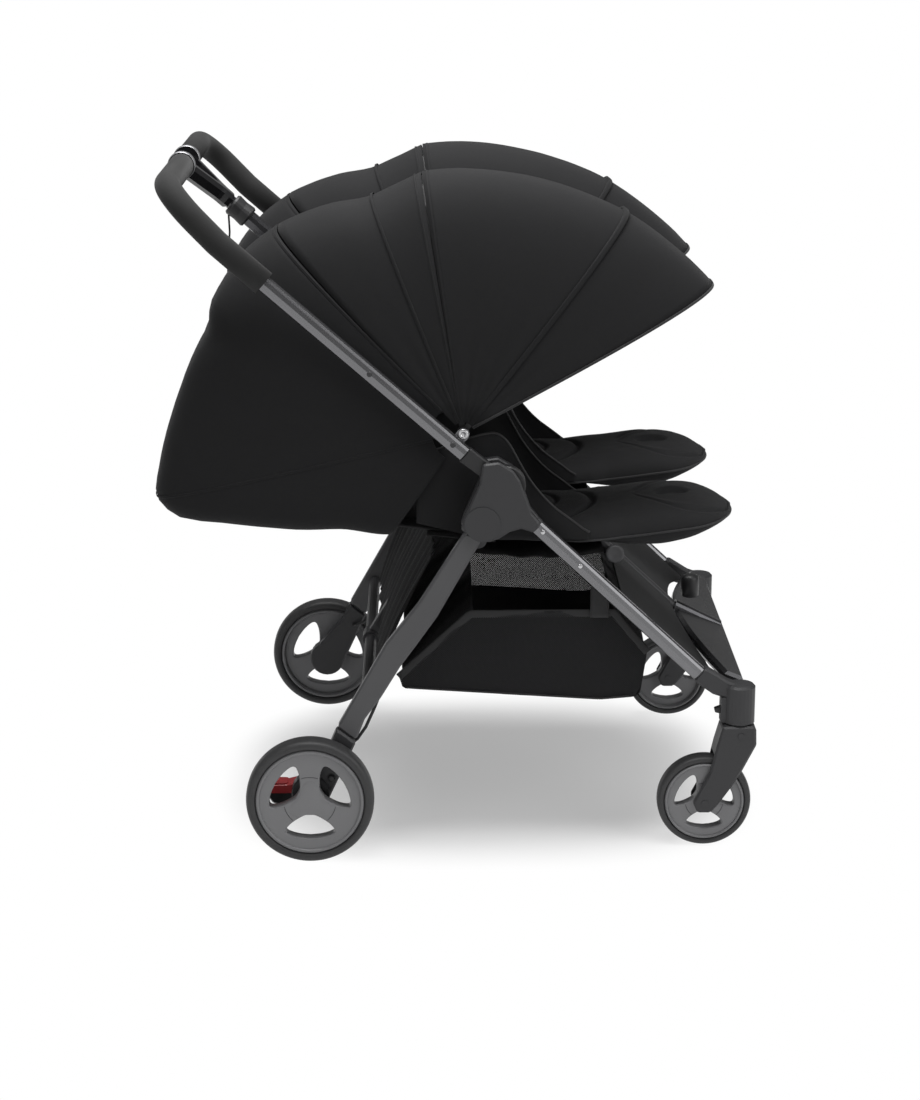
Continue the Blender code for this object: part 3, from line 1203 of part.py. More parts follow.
def leg_rest(side):
    """Padded leg rest: rounded front, sloped top, barrel and pins on its hinge."""
    middle = cabin(side)
    straight = LEG_REST_TIP - 0.075
    ring = [(LEG_REST_BACK, -LEG_REST_HALF_WIDTH)]
    for k in range(10):
        angle = -pi / 2 + pi * k / 9
        ring.append((straight + 0.075 * cos(angle), LEG_REST_HALF_WIDTH * sin(angle)))
    ring.append((LEG_REST_BACK, LEG_REST_HALF_WIDTH))
    height = LEG_REST_PEAK - LEG_REST_BOTTOM
    body = slab("rest", (ring,), height, Matrix.Translation(
        (0, middle, (LEG_REST_PEAK + LEG_REST_BOTTOM) / 2)), 0.008)
    side_ring = ((LEG_REST_BACK - 0.01, LEG_REST_BOTTOM - 0.01),
                 (LEG_REST_TIP + 0.01, LEG_REST_BOTTOM + 0.004),
                 (LEG_REST_TIP + 0.01, LEG_REST_PEAK - 0.010), (0.372, LEG_REST_PEAK + 0.001),
                 (0.330, LEG_REST_PEAK + 0.001), (LEG_REST_BACK - 0.01, LEG_REST_TOP - 0.004))
    trim = slab("trim", (side_ring,), 0.4, side_view(middle))
    body = boolean(body, (trim,), "INTERSECT")
    ear_inner = SEAT_HALF_WIDTH - EAR_THICKNESS
    barrel = disc("barrel", LEG_REST_BARREL, across_at(LEG_REST_AXIS, middle),
                  -ear_inner + SIDE_PLAY, ear_inner - SIDE_PLAY, 14)
    arm = slab("arm", (((LEG_REST_AXIS.x, LEG_REST_AXIS.y - LEG_REST_BARREL * 0.6),
                        (LEG_REST_BACK + 0.014, LEG_REST_BOTTOM + 0.004),
                        (LEG_REST_BACK + 0.014, LEG_REST_BOTTOM + 0.018),
                        (LEG_REST_AXIS.x + 0.003, LEG_REST_AXIS.y + LEG_REST_BARREL * 0.9)),),
               2 * LEG_REST_HALF_WIDTH - 0.02, side_view(middle))
    pins = disc("pins", LEG_REST_PIN_RADIUS, across_at(LEG_REST_AXIS, middle),
                -SEAT_HALF_WIDTH, SEAT_HALF_WIDTH, 12)
    node(f"leg_rest_{hand(side)}", fused(body, arm, barrel, pins), padding,
         at_y(LEG_REST_AXIS, middle))


def backrest(side):
    """Reclining back board with its cushion and the barrel round the seat tube."""
    middle = cabin(side)
    up = Vector((cos(radians(BACKREST_ANGLE)), sin(radians(BACKREST_ANGLE))))
    length = BACKREST_LENGTH - BACKREST_ROOT
    root = SEAT_AXIS + up * (BACKREST_ROOT + length / 2)
    frame = (plane(root, up) @ Matrix.Translation((0, middle, 0))
             @ Matrix.Rotation(pi, 4, "X") @ Matrix.Translation((0, 0, -BACKREST_THICKNESS)))
    board = cushion("board", (length, 2 * BACKREST_HALF_WIDTH, BACKREST_THICKNESS), 0.10,
                    BACKREST_CROWN, frame)
    barrel = disc("barrel", BARREL_RADIUS, across_at(SEAT_AXIS, middle),
                  -BACKREST_HALF_WIDTH + 0.006, BACKREST_HALF_WIDTH - 0.006, 14)
    normal = Vector((up.y, -up.x))
    web_end = SEAT_AXIS + up * (BACKREST_ROOT + 0.030)
    web = slab("web", ((SEAT_AXIS + normal * -0.001, SEAT_AXIS - normal * 0.0095,
                        web_end - normal * 0.014, web_end - normal * 0.006),),
               2 * BACKREST_HALF_WIDTH - 0.03, side_view(middle))
    bore = disc("bore", CROSS_TUBE_RADIUS + GAP, across_at(SEAT_AXIS, middle), -0.2, 0.2, 12)
    made = cut(fused(board, barrel, web), bore)
    node(f"backrest_{hand(side)}", made, padding, at_y(SEAT_AXIS, middle))


# Hood bows
def arch(half_width, reach, power, start, count):
    """An arch over the cabin in its own plane: (across, up) points."""
    first = math_asin_power(start / reach, power)
    ring = []
    for k in range(count + 1):
        angle = first + (pi - 2 * first) * k / count
        ring.append((half_width * power_curve(cos(angle), power),
                     reach * power_curve(sin(angle), power)))
    return ring


def math_asin_power(share, power):
    """The angle at which an arch reaches a share of its height."""
    sine = share ** (power / 2)
    return atan2(sine, (1 - sine * sine) ** 0.5)


def hood_frame(side, angle):
    """The plane of an arch through the hood axis: local x across, local y up the arch."""
    turn = radians(angle)
    up = Vector((cos(turn), 0, sin(turn)))
    across = Vector((0, 1, 0))
    matrix = Matrix((across, up, across.cross(up))).transposed().to_4x4()
    return Matrix.Translation(at_y(HOOD_AXIS, cabin(side))) @ matrix


def fan_value(fan, angle, column):
    """Interpolate a fan's reach or power smoothly at an angle."""
    for low, high in zip(fan, fan[1:]):
        if min(low[0], high[0]) - 0.001 <= angle <= max(low[0], high[0]) + 0.001:
            share = (angle - low[0]) / (high[0] - low[0])
            return low[column] + (high[column] - low[column]) * share
    return fan[-1][column]


def bow(name, side, angle, fan, half_width):
    """A flat arched bow with an eye at each end, on the hood axis."""
    frame = hood_frame(side, angle)
    reach = fan_value(fan, angle, 1) - BOW_INSET
    power = fan_value(fan, angle, 2)
    outer = arch(half_width, reach, power, 0.0001, BOW_POINTS)
    inner = arch(half_width - BOW_THICKNESS, reach - BOW_THICKNESS, power, 0.0001, BOW_POINTS)
    made = slab(name, (outer + inner[::-1],), BOW_WIDTH, frame)
    for end in (-1, 1):
        low, high = sorted((end * (half_width - BOW_THICKNESS + GAP), end * (half_width - GAP)))
        spot = across_at(HOOD_AXIS, cabin(side))
        eye = disc("eye", BOW_EYE_RADIUS, spot, low, high)
        hole = disc("hole", HOOD_PIN_RADIUS + GAP, spot, low - SIDE_PLAY, high + SIDE_PLAY, 10)
        made = cut(fused(made, eye), hole)
    node(f"{name}_{hand(side)}", made, black_plastic, at_y(HOOD_AXIS, cabin(side)))


# Hood fabric and back shell
def fan_stops(fan, first, last):
    """The fan's own angles between its two seams, with one more in each wide gap."""
    stops = [min(max(entry[0], first), last) for entry in fan]
    middles = [(low + high) / 2 for low, high in zip(stops, stops[1:])
               if high - low > FAN_WIDE_STEP]
    return sorted(stops + middles)


def fan_shell(name, side, fan, first, last):
    """Fabric stretched over arches that fan round the hood axis."""
    shape = bmesh.new()
    rows = []
    stops = fan_stops(fan, first, last)
    for angle in stops:
        frame = hood_frame(side, angle)
        ring = arch(HOOD_HALF_WIDTH, fan_value(fan, angle, 1), fan_value(fan, angle, 2), FAN_INNER,
                    ARCH_POINTS)
        rows.append([shape.verts.new(frame @ Vector((x, y, 0))) for x, y in ring])
    for low, high in zip(rows, rows[1:]):
        for k in range(len(low) - 1):
            shape.faces.new((low[k], low[k + 1], high[k + 1], high[k]))
    bmesh.ops.recalc_face_normals(shape, faces=shape.faces)
    middle = at_y(HOOD_AXIS, cabin(side))
    outward = sum((face.normal.dot(face.calc_center_median() - middle) for face in shape.faces), 0)
    if outward < 0:
        bmesh.ops.reverse_faces(shape, faces=shape.faces)
    mesh = bpy.data.meshes.new(name)
    shape.to_mesh(mesh)
    shape.free()
    holder = link(name, mesh)
    skin = holder.modifiers.new("skin", "SOLIDIFY")
    skin.thickness = FABRIC_THICKNESS
    skin.offset = -1
    made = solid(holder)
    node(f"{name}_{hand(side)}", made, fabric, at_y(HOOD_AXIS, cabin(side)), 60)


def hoods(side):
    seam = degrees(SEAM_GAP / FRONT_FAN[-1][1])
    fan_shell("hood_front_fabric", side, FRONT_FAN, FRONT_FAN[0][0], MID_BOW_ANGLE - seam / 2)
    fan_shell("hood_rear_fabric", side, REAR_FAN, MID_BOW_ANGLE + seam / 2,
              BACK_SEAM_ANGLE - seam / 2)
    fan_shell("back_shell", side, BACK_FAN, BACK_SEAM_ANGLE + seam / 2, BACK_FAN[-1][0])
    bow("front_bow", side, FRONT_BOW_ANGLE, FRONT_FAN, FRONT_BOW_HALF)
    bow("mid_bow", side, MID_BOW_ANGLE, FRONT_FAN, MID_BOW_HALF)


# Whole stroller
for side in SIDES:
    wheels(side)
    fork(side)
    swivel_housing(side)
    swivel_lock(side)
    front_leg(side)
    hub_plate(side)
    hub_cover(side)
    foot_panel(side)
    push_tube(side)
    push_collar(side)
    grip(side)
    rear_leg(side)
    brake_housing(side)
    seat(side)
    leg_rest(side)
    backrest(side)
    hoods(side)
centre_spine()
front_bar()
handle_bar()
handle_yoke()
centre_tube()
release_sleeve()
wrist_strap()
rear_crossbar()
brake_pedal()
brake_cable()
basket()
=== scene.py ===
# %% [markdown]
# # A side-by-side double stroller
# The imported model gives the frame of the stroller: tubes, hubs, forks and wheels, all in metres.
# This notebook dresses it. Hard pieces that already have the right shape get a better finish.
# Cloth, cushions and small fasteners are made here, because cloth is where a plain solid looks
# least like the real thing.

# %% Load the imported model
import bmesh
import bpy
from math import atan2, cos, exp, hypot, pi, radians, sin, tan
from mathutils import Matrix, Vector, noise


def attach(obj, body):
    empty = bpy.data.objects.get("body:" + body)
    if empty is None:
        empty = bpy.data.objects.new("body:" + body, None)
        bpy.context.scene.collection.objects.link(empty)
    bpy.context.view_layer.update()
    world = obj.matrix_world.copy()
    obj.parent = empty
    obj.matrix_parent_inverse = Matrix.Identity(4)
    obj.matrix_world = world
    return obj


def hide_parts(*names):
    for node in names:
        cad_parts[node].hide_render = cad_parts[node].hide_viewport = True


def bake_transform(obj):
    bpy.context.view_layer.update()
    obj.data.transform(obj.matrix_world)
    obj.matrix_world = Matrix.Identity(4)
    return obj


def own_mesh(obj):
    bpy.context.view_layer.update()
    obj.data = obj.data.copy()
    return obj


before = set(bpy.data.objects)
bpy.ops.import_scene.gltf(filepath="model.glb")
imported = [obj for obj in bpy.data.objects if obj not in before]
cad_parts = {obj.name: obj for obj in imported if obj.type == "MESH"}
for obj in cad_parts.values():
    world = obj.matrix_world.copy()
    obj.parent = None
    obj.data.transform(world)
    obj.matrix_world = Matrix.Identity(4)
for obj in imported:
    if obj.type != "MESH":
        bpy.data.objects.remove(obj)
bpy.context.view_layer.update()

# %% [markdown]
# ## Camera, floor and light
# A product photograph like this one is taken with a long lens from a little above the handle.
# The lens and the two angles below give the same view. The floor and backdrop are white by their
# own colour for what the camera and the glossy pieces see, so no extra lamp has to burn them out.

# %% Camera
LONG_SIDE_MM = 36.0
FOCAL_PIXELS = 2569.3
PHOTO_HEIGHT = 1100
CAMERA_PLACE = (-0.043, -3.9395, 1.4548)
CAMERA_PITCH = radians(15.298)
CAMERA_YAW = radians(0.735)


def add_object(name, data):
    """A new object in the scene, for a mesh, a lamp, a curve or a lens."""
    made = bpy.data.objects.new(name, data)
    bpy.context.collection.objects.link(made)
    return made


lens = bpy.data.cameras.new("product_lens")
lens.sensor_width = LONG_SIDE_MM
lens.lens = FOCAL_PIXELS * LONG_SIDE_MM / PHOTO_HEIGHT
camera = add_object("product_camera", lens)
camera.location = CAMERA_PLACE
camera.rotation_euler = (pi / 2 - CAMERA_PITCH, 0, -CAMERA_YAW)
bpy.context.scene.camera = camera
print("lens", round(lens.lens, 2), "mm")

# %% [markdown]
# ## Writing shader maths as plain expressions
# A material is a small calculation. The class below wraps one socket, so that a line such as
# `1 - mask * 0.4` builds the Math nodes by itself. A finish holds a material and makes every
# other node in one call: its settings come first, and then the values or links of its sockets.

# %% Expressions on sockets
class Value:
    def __init__(self, finish, socket):
        self.finish = finish
        self.socket = socket

    def maths(self, operation, *others):
        feeds = {k: v for k, v in enumerate((self,) + others)}
        return self.finish.node("ShaderNodeMath", {"operation": operation}, feeds)[0]

    def __rsub__(self, other):
        return self.finish.node("ShaderNodeMath", {"operation": "SUBTRACT"}, {0: other, 1: self})[0]


def maths_method(operation):
    """A method of Value that makes one kind of Math node."""
    return lambda value, *others: value.maths(operation, *others)


METHODS = {"__add__": "ADD", "__radd__": "ADD", "__sub__": "SUBTRACT", "__mul__": "MULTIPLY",
           "__rmul__": "MULTIPLY", "__truediv__": "DIVIDE", "__lt__": "LESS_THAN",
           "__gt__": "GREATER_THAN", "sine": "SINE"}
for method, operation in METHODS.items():
    setattr(Value, method, maths_method(operation))


class Finish:
    def __init__(self, name, colour, roughness, **shader):
        self.material = bpy.data.materials.new(name)
        self.material.use_nodes = True
        self.tree = self.material.node_tree
        self.shader = self.tree.nodes["Principled BSDF"]
        self.material.diffuse_color = (*colour, 1)
        self.feed(self.shader.inputs["Base Color"], (*colour, 1))
        self.feed(self.shader.inputs["Roughness"], roughness)
        for key, value in shader.items():
            self.feed(self.shader.inputs[key.replace("_", " ").title().replace("Ior", "IOR")], value)

    def feed(self, socket, value):
        if isinstance(value, Value):
            self.tree.links.new(value.socket, socket)
        else:
            socket.default_value = value

    def node(self, kind, settings=None, feeds=None):
        made = self.tree.nodes.new(kind)
        for key, value in (settings or {}).items():
            setattr(made, key, value)
        for key, value in (feeds or {}).items():
            self.feed(made.inputs[key], value)
        return [Value(self, socket) for socket in made.outputs]

    def place(self):
        """Each point's place on the object, in metres, as one vector."""
        return self.node("ShaderNodeTexCoord")[3]

    def split(self):
        return self.node("ShaderNodeSeparateXYZ", None, {0: self.place()})

    def noise(self, per_metre, detail=3.0, rough=0.5):
        feeds = {"Vector": self.place(), "Scale": per_metre, "Detail": detail, "Roughness": rough}
        return self.node("ShaderNodeTexNoise", None, feeds)[0]

    def colour(self, mask, low, high):
        """One colour where the mask is 0 and another where it is 1."""
        feeds = {0: mask, 6: (*low, 1), 7: (*high, 1)}
        mixed = self.node("ShaderNodeMix", {"data_type": "RGBA"}, feeds)[2]
        self.feed(self.shader.inputs["Base Color"], mixed)
        return self

    def roughness(self, value):
        self.feed(self.shader.inputs["Roughness"], value)
        return self

    def bump(self, height, depth, strength=1.0):
        feeds = {"Height": height, "Distance": depth, "Strength": strength}
        self.feed(self.shader.inputs["Normal"], self.node("ShaderNodeBump", None, feeds)[0])
        return self


def grey(level, blue):
    """A grey with its blue given apart, because black cloth and paint are a little cold."""
    return (level, level, blue)


# %% [markdown]
# ## The strap on the handle
# A thin cord leaves the underside of the yoke and ends in a wide piece of webbing. It is the only
# free cord, so it comes first. The cord is a tube along its line, and the webbing a flat band
# swept along the same line further down, with the two sewn together where they meet.

# %% Meshes from points
def piece(name, verts, faces, finish):
    mesh = bpy.data.meshes.new(name)
    mesh.from_pydata(verts, [], faces)
    mesh.materials.append(finish.material)
    mesh.validate()
    for face in mesh.polygons:
        face.use_smooth = True
    return add_object(name, mesh)


def grid_faces(rows, columns, closed=False, looped=False):
    """Faces between rows of points: closed joins each row's ends, looped the first and last row."""
    wide = columns if closed else columns - 1
    long = rows if looped else rows - 1
    return [(r * columns + c, r * columns + (c + 1) % columns,
             (r + 1) % rows * columns + (c + 1) % columns, (r + 1) % rows * columns + c)
            for r in range(long) for c in range(wide)]


def capped_faces(rows, around):
    """Faces of a row of closed rings, with a face over each end."""
    ends = [tuple(range(around))[::-1], tuple((rows - 1) * around + n for n in range(around))]
    return grid_faces(rows, around, True) + ends


def signed_power(value, power):
    """A sine or cosine made squarer: power 2 keeps a circle, and more nears a square."""
    return (1 if value >= 0 else -1) * abs(value) ** (2 / power)


def tube(name, points, radius, finish, sides=8):
    """A round bead or cord along a line of points."""
    verts = []
    count = len(points)
    for k, point in enumerate(points):
        along = (points[min(k + 1, count - 1)] - points[max(k - 1, 0)]).normalized()
        first = along.orthogonal() if k == 0 else turned - along * turned.dot(along)
        turned = first.normalized()
        other = along.cross(turned)
        for n in range(sides):
            a = 2 * pi * n / sides
            verts.append(point + (turned * cos(a) + other * sin(a)) * radius)
    return piece(name, verts, capped_faces(count, sides), finish)


def fitting(made, body):
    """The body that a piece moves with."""
    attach(made, body)
    return made


# %% Hang the strap
def webbing_finish():
    """Black webbing with fine ribs along and across."""
    made = Finish("webbing", grey(0.018, 0.019), 0.7, specular_ior_level=0.3)
    y, z = made.split()[1:]
    ribs = (y * 5200).sine() * 0.5 + (z * 3600).sine() * 0.5
    made.colour(ribs * 0.5 + 0.5, grey(0.013, 0.014), grey(0.030, 0.031))
    return made.bump(ribs, 0.00012)


def webbing_band(name, points, half_width, half_thickness, finish):
    """A flat band with rounded edges along a hanging line."""
    corners = 24
    verts = []
    for point in points:
        for n in range(corners):
            a = 2 * pi * n / corners
            verts.append(point + Vector((half_thickness * signed_power(sin(a), 10 / 3),
                                         half_width * signed_power(cos(a), 8), 0)))
    return piece(name, verts, capped_faces(len(points), corners), finish)


STRAP_LINE = [Vector((-0.3473, 0, 0.9138)), Vector((-0.3462, 0, 0.885)), Vector((-0.350, 0, 0.835))]
WEB_TOP, WEB_END = Vector((-0.350, 0, 0.8375)), Vector((-0.351, 0, 0.7840))
WEB_LINE = [WEB_TOP.lerp(WEB_END, k / 12) for k in range(13)]
webbing = webbing_finish()
strap_cord = tube("strap_cord", STRAP_LINE, 0.0015, webbing, 12)
strap_web = webbing_band("strap_web", WEB_LINE, 0.008, 0.001, webbing)
for made in (strap_cord, strap_web):
    fitting(made, "upper_frame")
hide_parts("wrist_strap")

# %% [markdown]
# ## Floor and backdrop
# Both are one wide sheet. Its colour is lit like anything else under the stroller, where the
# shadow falls, and is plain white further out.

# %% Lay the floor
FLOOR_GREY = (0.80, 0.80, 0.80)
FLOOR_HALF = 7.0
FLOOR_LOW = -0.0005
SHADE_MIDDLE = 0.05
SHADE_LONG, SHADE_WIDE = 0.43, 0.41
SHADE_LIGHT, WHITE_LIGHT = 0.34, 1.0


def backdrop_finish():
    """Pale floor whose far part is seen as pure white, and which still takes the shadow."""
    made = Finish("studio_floor", FLOOR_GREY, 0.85, specular_ior_level=0.1)
    rays = made.node("ShaderNodeLightPath")
    x, y = made.split()[:2]
    beside = ((x - SHADE_MIDDLE) / SHADE_LONG).maths("ABSOLUTE")
    across = (y / SHADE_WIDE).maths("ABSOLUTE")
    away = beside.maths("POWER", 3.0) + across.maths("POWER", 3.0)
    glow = made.node("ShaderNodeMapRange", {"interpolation_type": "SMOOTHSTEP"},
                     {0: away, 1: 0.15, 2: 1.05, 3: SHADE_LIGHT, 4: WHITE_LIGHT})[0]
    seen = rays[0].maths("MAXIMUM", rays[3]) * glow
    light = made.node("ShaderNodeEmission", None, {"Color": (1, 1, 1, 1), "Strength": 1.0})[0]
    matt = made.node("ShaderNodeBsdfDiffuse", None, {"Color": (*FLOOR_GREY, 1)})[0]
    mixed = made.node("ShaderNodeMixShader", None, {0: seen, 1: matt, 2: light})[0]
    made.feed(made.tree.nodes["Material Output"].inputs[0], mixed)
    return made


floor_corners = [Vector((x * FLOOR_HALF, y * FLOOR_HALF, FLOOR_LOW))
                 for x, y in ((-1, -1), (1, -1), (1, 1), (-1, 1))]
studio_floor = piece("studio_floor", floor_corners, [(0, 1, 2, 3)], backdrop_finish())

# %% [markdown]
# ### Light
# Three wide soft boxes: one high over the handle, one low on the camera's side for the wheels and
# the tubes, and one in front of the stroller. Wide boxes leave a long narrow highlight on a round
# tube, and that highlight is what shows that the tubes are metal.

# %% Lamps
LAMP_AIM = Vector((0, 0, 0.5))
LAMPS = (("top_box", (-0.2, -0.1, 3.0), (2.4, 1.8), 112),
         ("camera_side_box", (-1.4, -2.8, 1.7), (1.6, 1.2), 10),
         ("front_box", (2.4, -1.5, 1.8), (2.2, 2.0), 32))
for name, place, size, watts in LAMPS:
    lamp = bpy.data.lights.new(name, "AREA")
    lamp.shape = "RECTANGLE"
    lamp.size, lamp.size_y = size
    lamp.energy = watts
    box = add_object(name, lamp)
    box.location = place
    box.rotation_euler = (LAMP_AIM - Vector(place)).to_track_quat("-Z", "Y").to_euler()

# %% World, white to the camera and dim to the pieces
SKY_LIGHT = 0.16
world = bpy.data.worlds.new("studio")
bpy.context.scene.world = world
world.use_nodes = True
nodes = world.node_tree.nodes
sky, end_node = nodes["Background"], nodes["World Output"]
rays, seen_sky, either, mix = [nodes.new("ShaderNode" + kind)
                               for kind in ("LightPath", "Background", "Math", "MixShader")]
either.operation = "MAXIMUM"
for background, strength in ((sky, SKY_LIGHT), (seen_sky, 1.0)):
    background.inputs["Color"].default_value = (1, 1, 1, 1)
    background.inputs["Strength"].default_value = strength
for source, target in ((rays.outputs["Is Camera Ray"], either.inputs[0]),
                       (rays.outputs["Is Transmission Ray"], either.inputs[1]),
                       (either.outputs[0], mix.inputs[0]), (sky.outputs[0], mix.inputs[1]),
                       (seen_sky.outputs[0], mix.inputs[2]),
                       (mix.outputs[0], end_node.inputs["Surface"])):
    world.node_tree.links.new(source, target)
bpy.context.scene.view_settings.view_transform = "Standard"

# %% [markdown]
# ## Finishes
# Nearly everything here is dark grey or black, so the finishes are told apart by their gloss.
# The tubes are smooth anodised metal, the mouldings are matt with a fine spark texture, and the
# cloth has a weave and a soft sheen.

# %% Metal tubes
def scaled(colour, factor):
    return tuple(c * factor for c in colour)


def tube_finish(name, colour, roughness):
    made = Finish(name, colour, roughness, metallic=0.9)
    cloud = made.noise(5.0, 2.0)
    made.colour(cloud, scaled(colour, 0.92), scaled(colour, 1.12))
    return made.roughness(roughness + cloud * 0.06)


gunmetal = tube_finish("gunmetal_tube", grey(0.185, 0.192), 0.22)
polished_tube = tube_finish("centre_tube_metal", grey(0.085, 0.090), 0.22)


# %% Moulded plastic
def moulding_finish(name, colour, roughness, grain=0.00012, coat=0.0):
    made = Finish(name, colour, roughness, coat_weight=coat, specular_ior_level=0.45)
    spark = made.noise(1400.0, 2.0, 0.6)
    cloud = made.noise(9.0, 4.0)
    made.colour(cloud, scaled(colour, 0.86), scaled(colour, 1.14))
    made.roughness(roughness - 0.05 + cloud * 0.12)
    return made.bump(spark, grain, 0.5)


dark_moulding = moulding_finish("dark_moulding", grey(0.031, 0.033), 0.48)
leg_moulding = moulding_finish("leg_moulding", grey(0.072, 0.075), 0.42)
black_plastic = moulding_finish("black_plastic", grey(0.016, 0.017), 0.44)
rim_finish = moulding_finish("rim_grey", grey(0.175, 0.180), 0.34, 0.00004)
bar_finish = tube_finish("front_bar_grey", grey(0.105, 0.110), 0.24)
gloss_black = moulding_finish("gloss_black", grey(0.010, 0.011), 0.12, 0.00001, 0.6)
band_silver = Finish("silver_band", grey(0.30, 0.31), 0.34, metallic=0.6)
rivet_steel = Finish("rivet_steel", grey(0.55, 0.56), 0.25, metallic=1.0)
for shiny in (band_silver, rivet_steel):
    shiny.roughness(0.20 + shiny.noise(120.0) * 0.14)


# %% Tyres, grip foam and pedal
def tyre_finish():
    """Matt rubber with a fine grain and a little dust."""
    made = Finish("tyre_rubber", grey(0.022, 0.023), 0.55, specular_ior_level=0.40)
    dust = made.noise(60.0, 5.0, 0.6)
    made.colour(dust, grey(0.026, 0.027), grey(0.048, 0.049))
    made.roughness(0.40 + dust * 0.2)
    return made.bump(made.noise(1600.0, 2.0), 0.0001, 0.5)


def foam_finish():
    """Closed-cell foam: thousands of small dents, and no gloss at all."""
    made = Finish("grip_foam", grey(0.018, 0.018), 0.88, sheen_weight=0.08,
                  specular_ior_level=0.25)
    cells = made.node("ShaderNodeTexVoronoi", None,
                      {"Vector": made.place(), "Scale": 900.0})[0]
    made.colour(made.noise(16.0, 3.0), grey(0.015, 0.015), grey(0.024, 0.024))
    return made.bump(cells, 0.00025, 0.6)


def pedal_finish():
    """Black moulded pedal whose tread, on top, is red."""
    made = Finish("brake_pedal", grey(0.02, 0.02), 0.4)
    x, y, z = made.split()
    made.colour((z > 0.0865) * (x < -0.226), grey(0.014, 0.015), (0.40, 0.030, 0.035))
    return made.roughness(0.30 + made.noise(40.0) * 0.15)


pedal_look = pedal_finish()
tyre_rubber = tyre_finish()
grip_foam = foam_finish()

# %% [markdown]
# ### Cloth
# Plain-woven polyester is two sets of threads that pass over and under each other. Two sine waves
# in product give that check, and the bump turns it into threads. The threads are 0.7 mm apart, so
# from a few metres they only soften the light, and close up they read as cloth. The height of the
# wave is mixed with a large soft noise, which gives the slight slubs and the worn, greyer places.

# %% Woven cloth
THREAD = 0.0007


def woven_finish(name, dark, pale, thread=THREAD, depth=0.00018, sheen=0.05):
    made = Finish(name, dark, 0.82, sheen_weight=sheen, sheen_roughness=0.40,
                  specular_ior_level=0.18)
    x, y, z = made.split()
    turn = 2 * pi / thread
    warp = ((x + z * 0.73) * turn).sine()
    weft = ((y * 0.97 - z * 0.71) * turn).sine()
    weave = warp * weft * 0.5 + 0.5
    slub = made.noise(220.0, 4.0, 0.6)
    cloud = made.noise(7.0, 3.0)
    made.colour(cloud * 0.6 + slub * 0.25 + weave * 0.15, dark, pale)
    made.roughness(0.74 + cloud * 0.16)
    return made.bump(weave * 0.7 + slub * 0.6, depth, 0.55)


def net_finish():
    """Air mesh: rows of small round holes in a dark knit."""
    made = Finish("basket_net", grey(0.012, 0.013), 0.85, specular_ior_level=0.25)
    x, y, z = made.split()
    turn = 2 * pi / 0.0034
    holes = ((x + y) * turn).sine() * (z * turn).sine()
    made.feed(made.shader.inputs["Alpha"], 1 - (holes > 0.28))
    made.colour(holes * 0.5 + 0.5, grey(0.020, 0.021), grey(0.010, 0.011))
    return made.bump(holes, 0.0004, 0.6)


def ribbed_finish(name, dark, pale, rib):
    """Webbing and binding tape: ribs across, a little glossier than cloth."""
    made = Finish(name, dark, 0.68, sheen_weight=0.1, specular_ior_level=0.4)
    x, y, z = made.split()
    ribs = ((x * 0.8 + z) * (2 * pi / rib)).sine() * 0.5 + 0.5
    fine = made.noise(700.0, 2.0)
    made.colour(ribs * 0.6 + fine * 0.4, dark, pale)
    return made.bump(ribs + fine * 0.5, 0.0002, 0.6)


hood_cloth = woven_finish("hood_cloth", grey(0.0085, 0.0090), grey(0.0170, 0.0178))
shell_cloth = woven_finish("back_cloth", grey(0.0080, 0.0085), grey(0.0160, 0.0168))
seat_cloth = woven_finish("seat_cloth", grey(0.0120, 0.0126), grey(0.0210, 0.0218), 0.0011, 0.0003,
                          0.04)
basket_cloth = woven_finish("basket_cloth", grey(0.010, 0.0105), grey(0.019, 0.020), 0.0013, 0.0004)
basket_net = net_finish()
binding = ribbed_finish("binding_tape", grey(0.010, 0.0105), grey(0.019, 0.020), 0.0016)
panel_cloth = woven_finish("foot_panel_cloth", grey(0.013, 0.0135), grey(0.023, 0.024), 0.0016)
print("materials", len(bpy.data.materials))

# %% [markdown]
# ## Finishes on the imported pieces
# The hard pieces keep their shapes, so each only needs its material.

# %% Give each hard piece its finish
HANDS = {-1: "right", 1: "left"}


def dress(finish, *names):
    for name in names:
        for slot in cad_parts[name].material_slots:
            slot.material = finish.material


def both(*names):
    return [f"{name}_{hand}" for name in names for hand in HANDS.values()]


dress(gunmetal, "handle_bar", *both("front_leg", "push_tube"))
dress(leg_moulding, *both("rear_leg"))
dress(polished_tube, "centre_tube")
dress(dark_moulding, "centre_spine", "rear_crossbar",
      *both("hub_plate", "hub_cover", "swivel_housing", "fork", "brake_housing"))
dress(black_plastic, "release_sleeve", "brake_cable",
      *both("push_collar", "swivel_lock", "front_bow", "mid_bow"))
dress(gloss_black, "handle_yoke")
dress(bar_finish, "front_bar")
dress(panel_cloth, *both("foot_panel"))
dress(pedal_look, "brake_pedal")

# %% [markdown]
# ## Hoods and back shells
# Each hood is one cloth stretched over two thin bows that turn on a pin at the seat's side, so
# every bow's arch lies in a plane through that pin. The cloth between them is therefore a fan of
# arches. A table of angles with the arch's height and squareness describes it, and a smooth curve
# through the table gives the cloth between the bows.

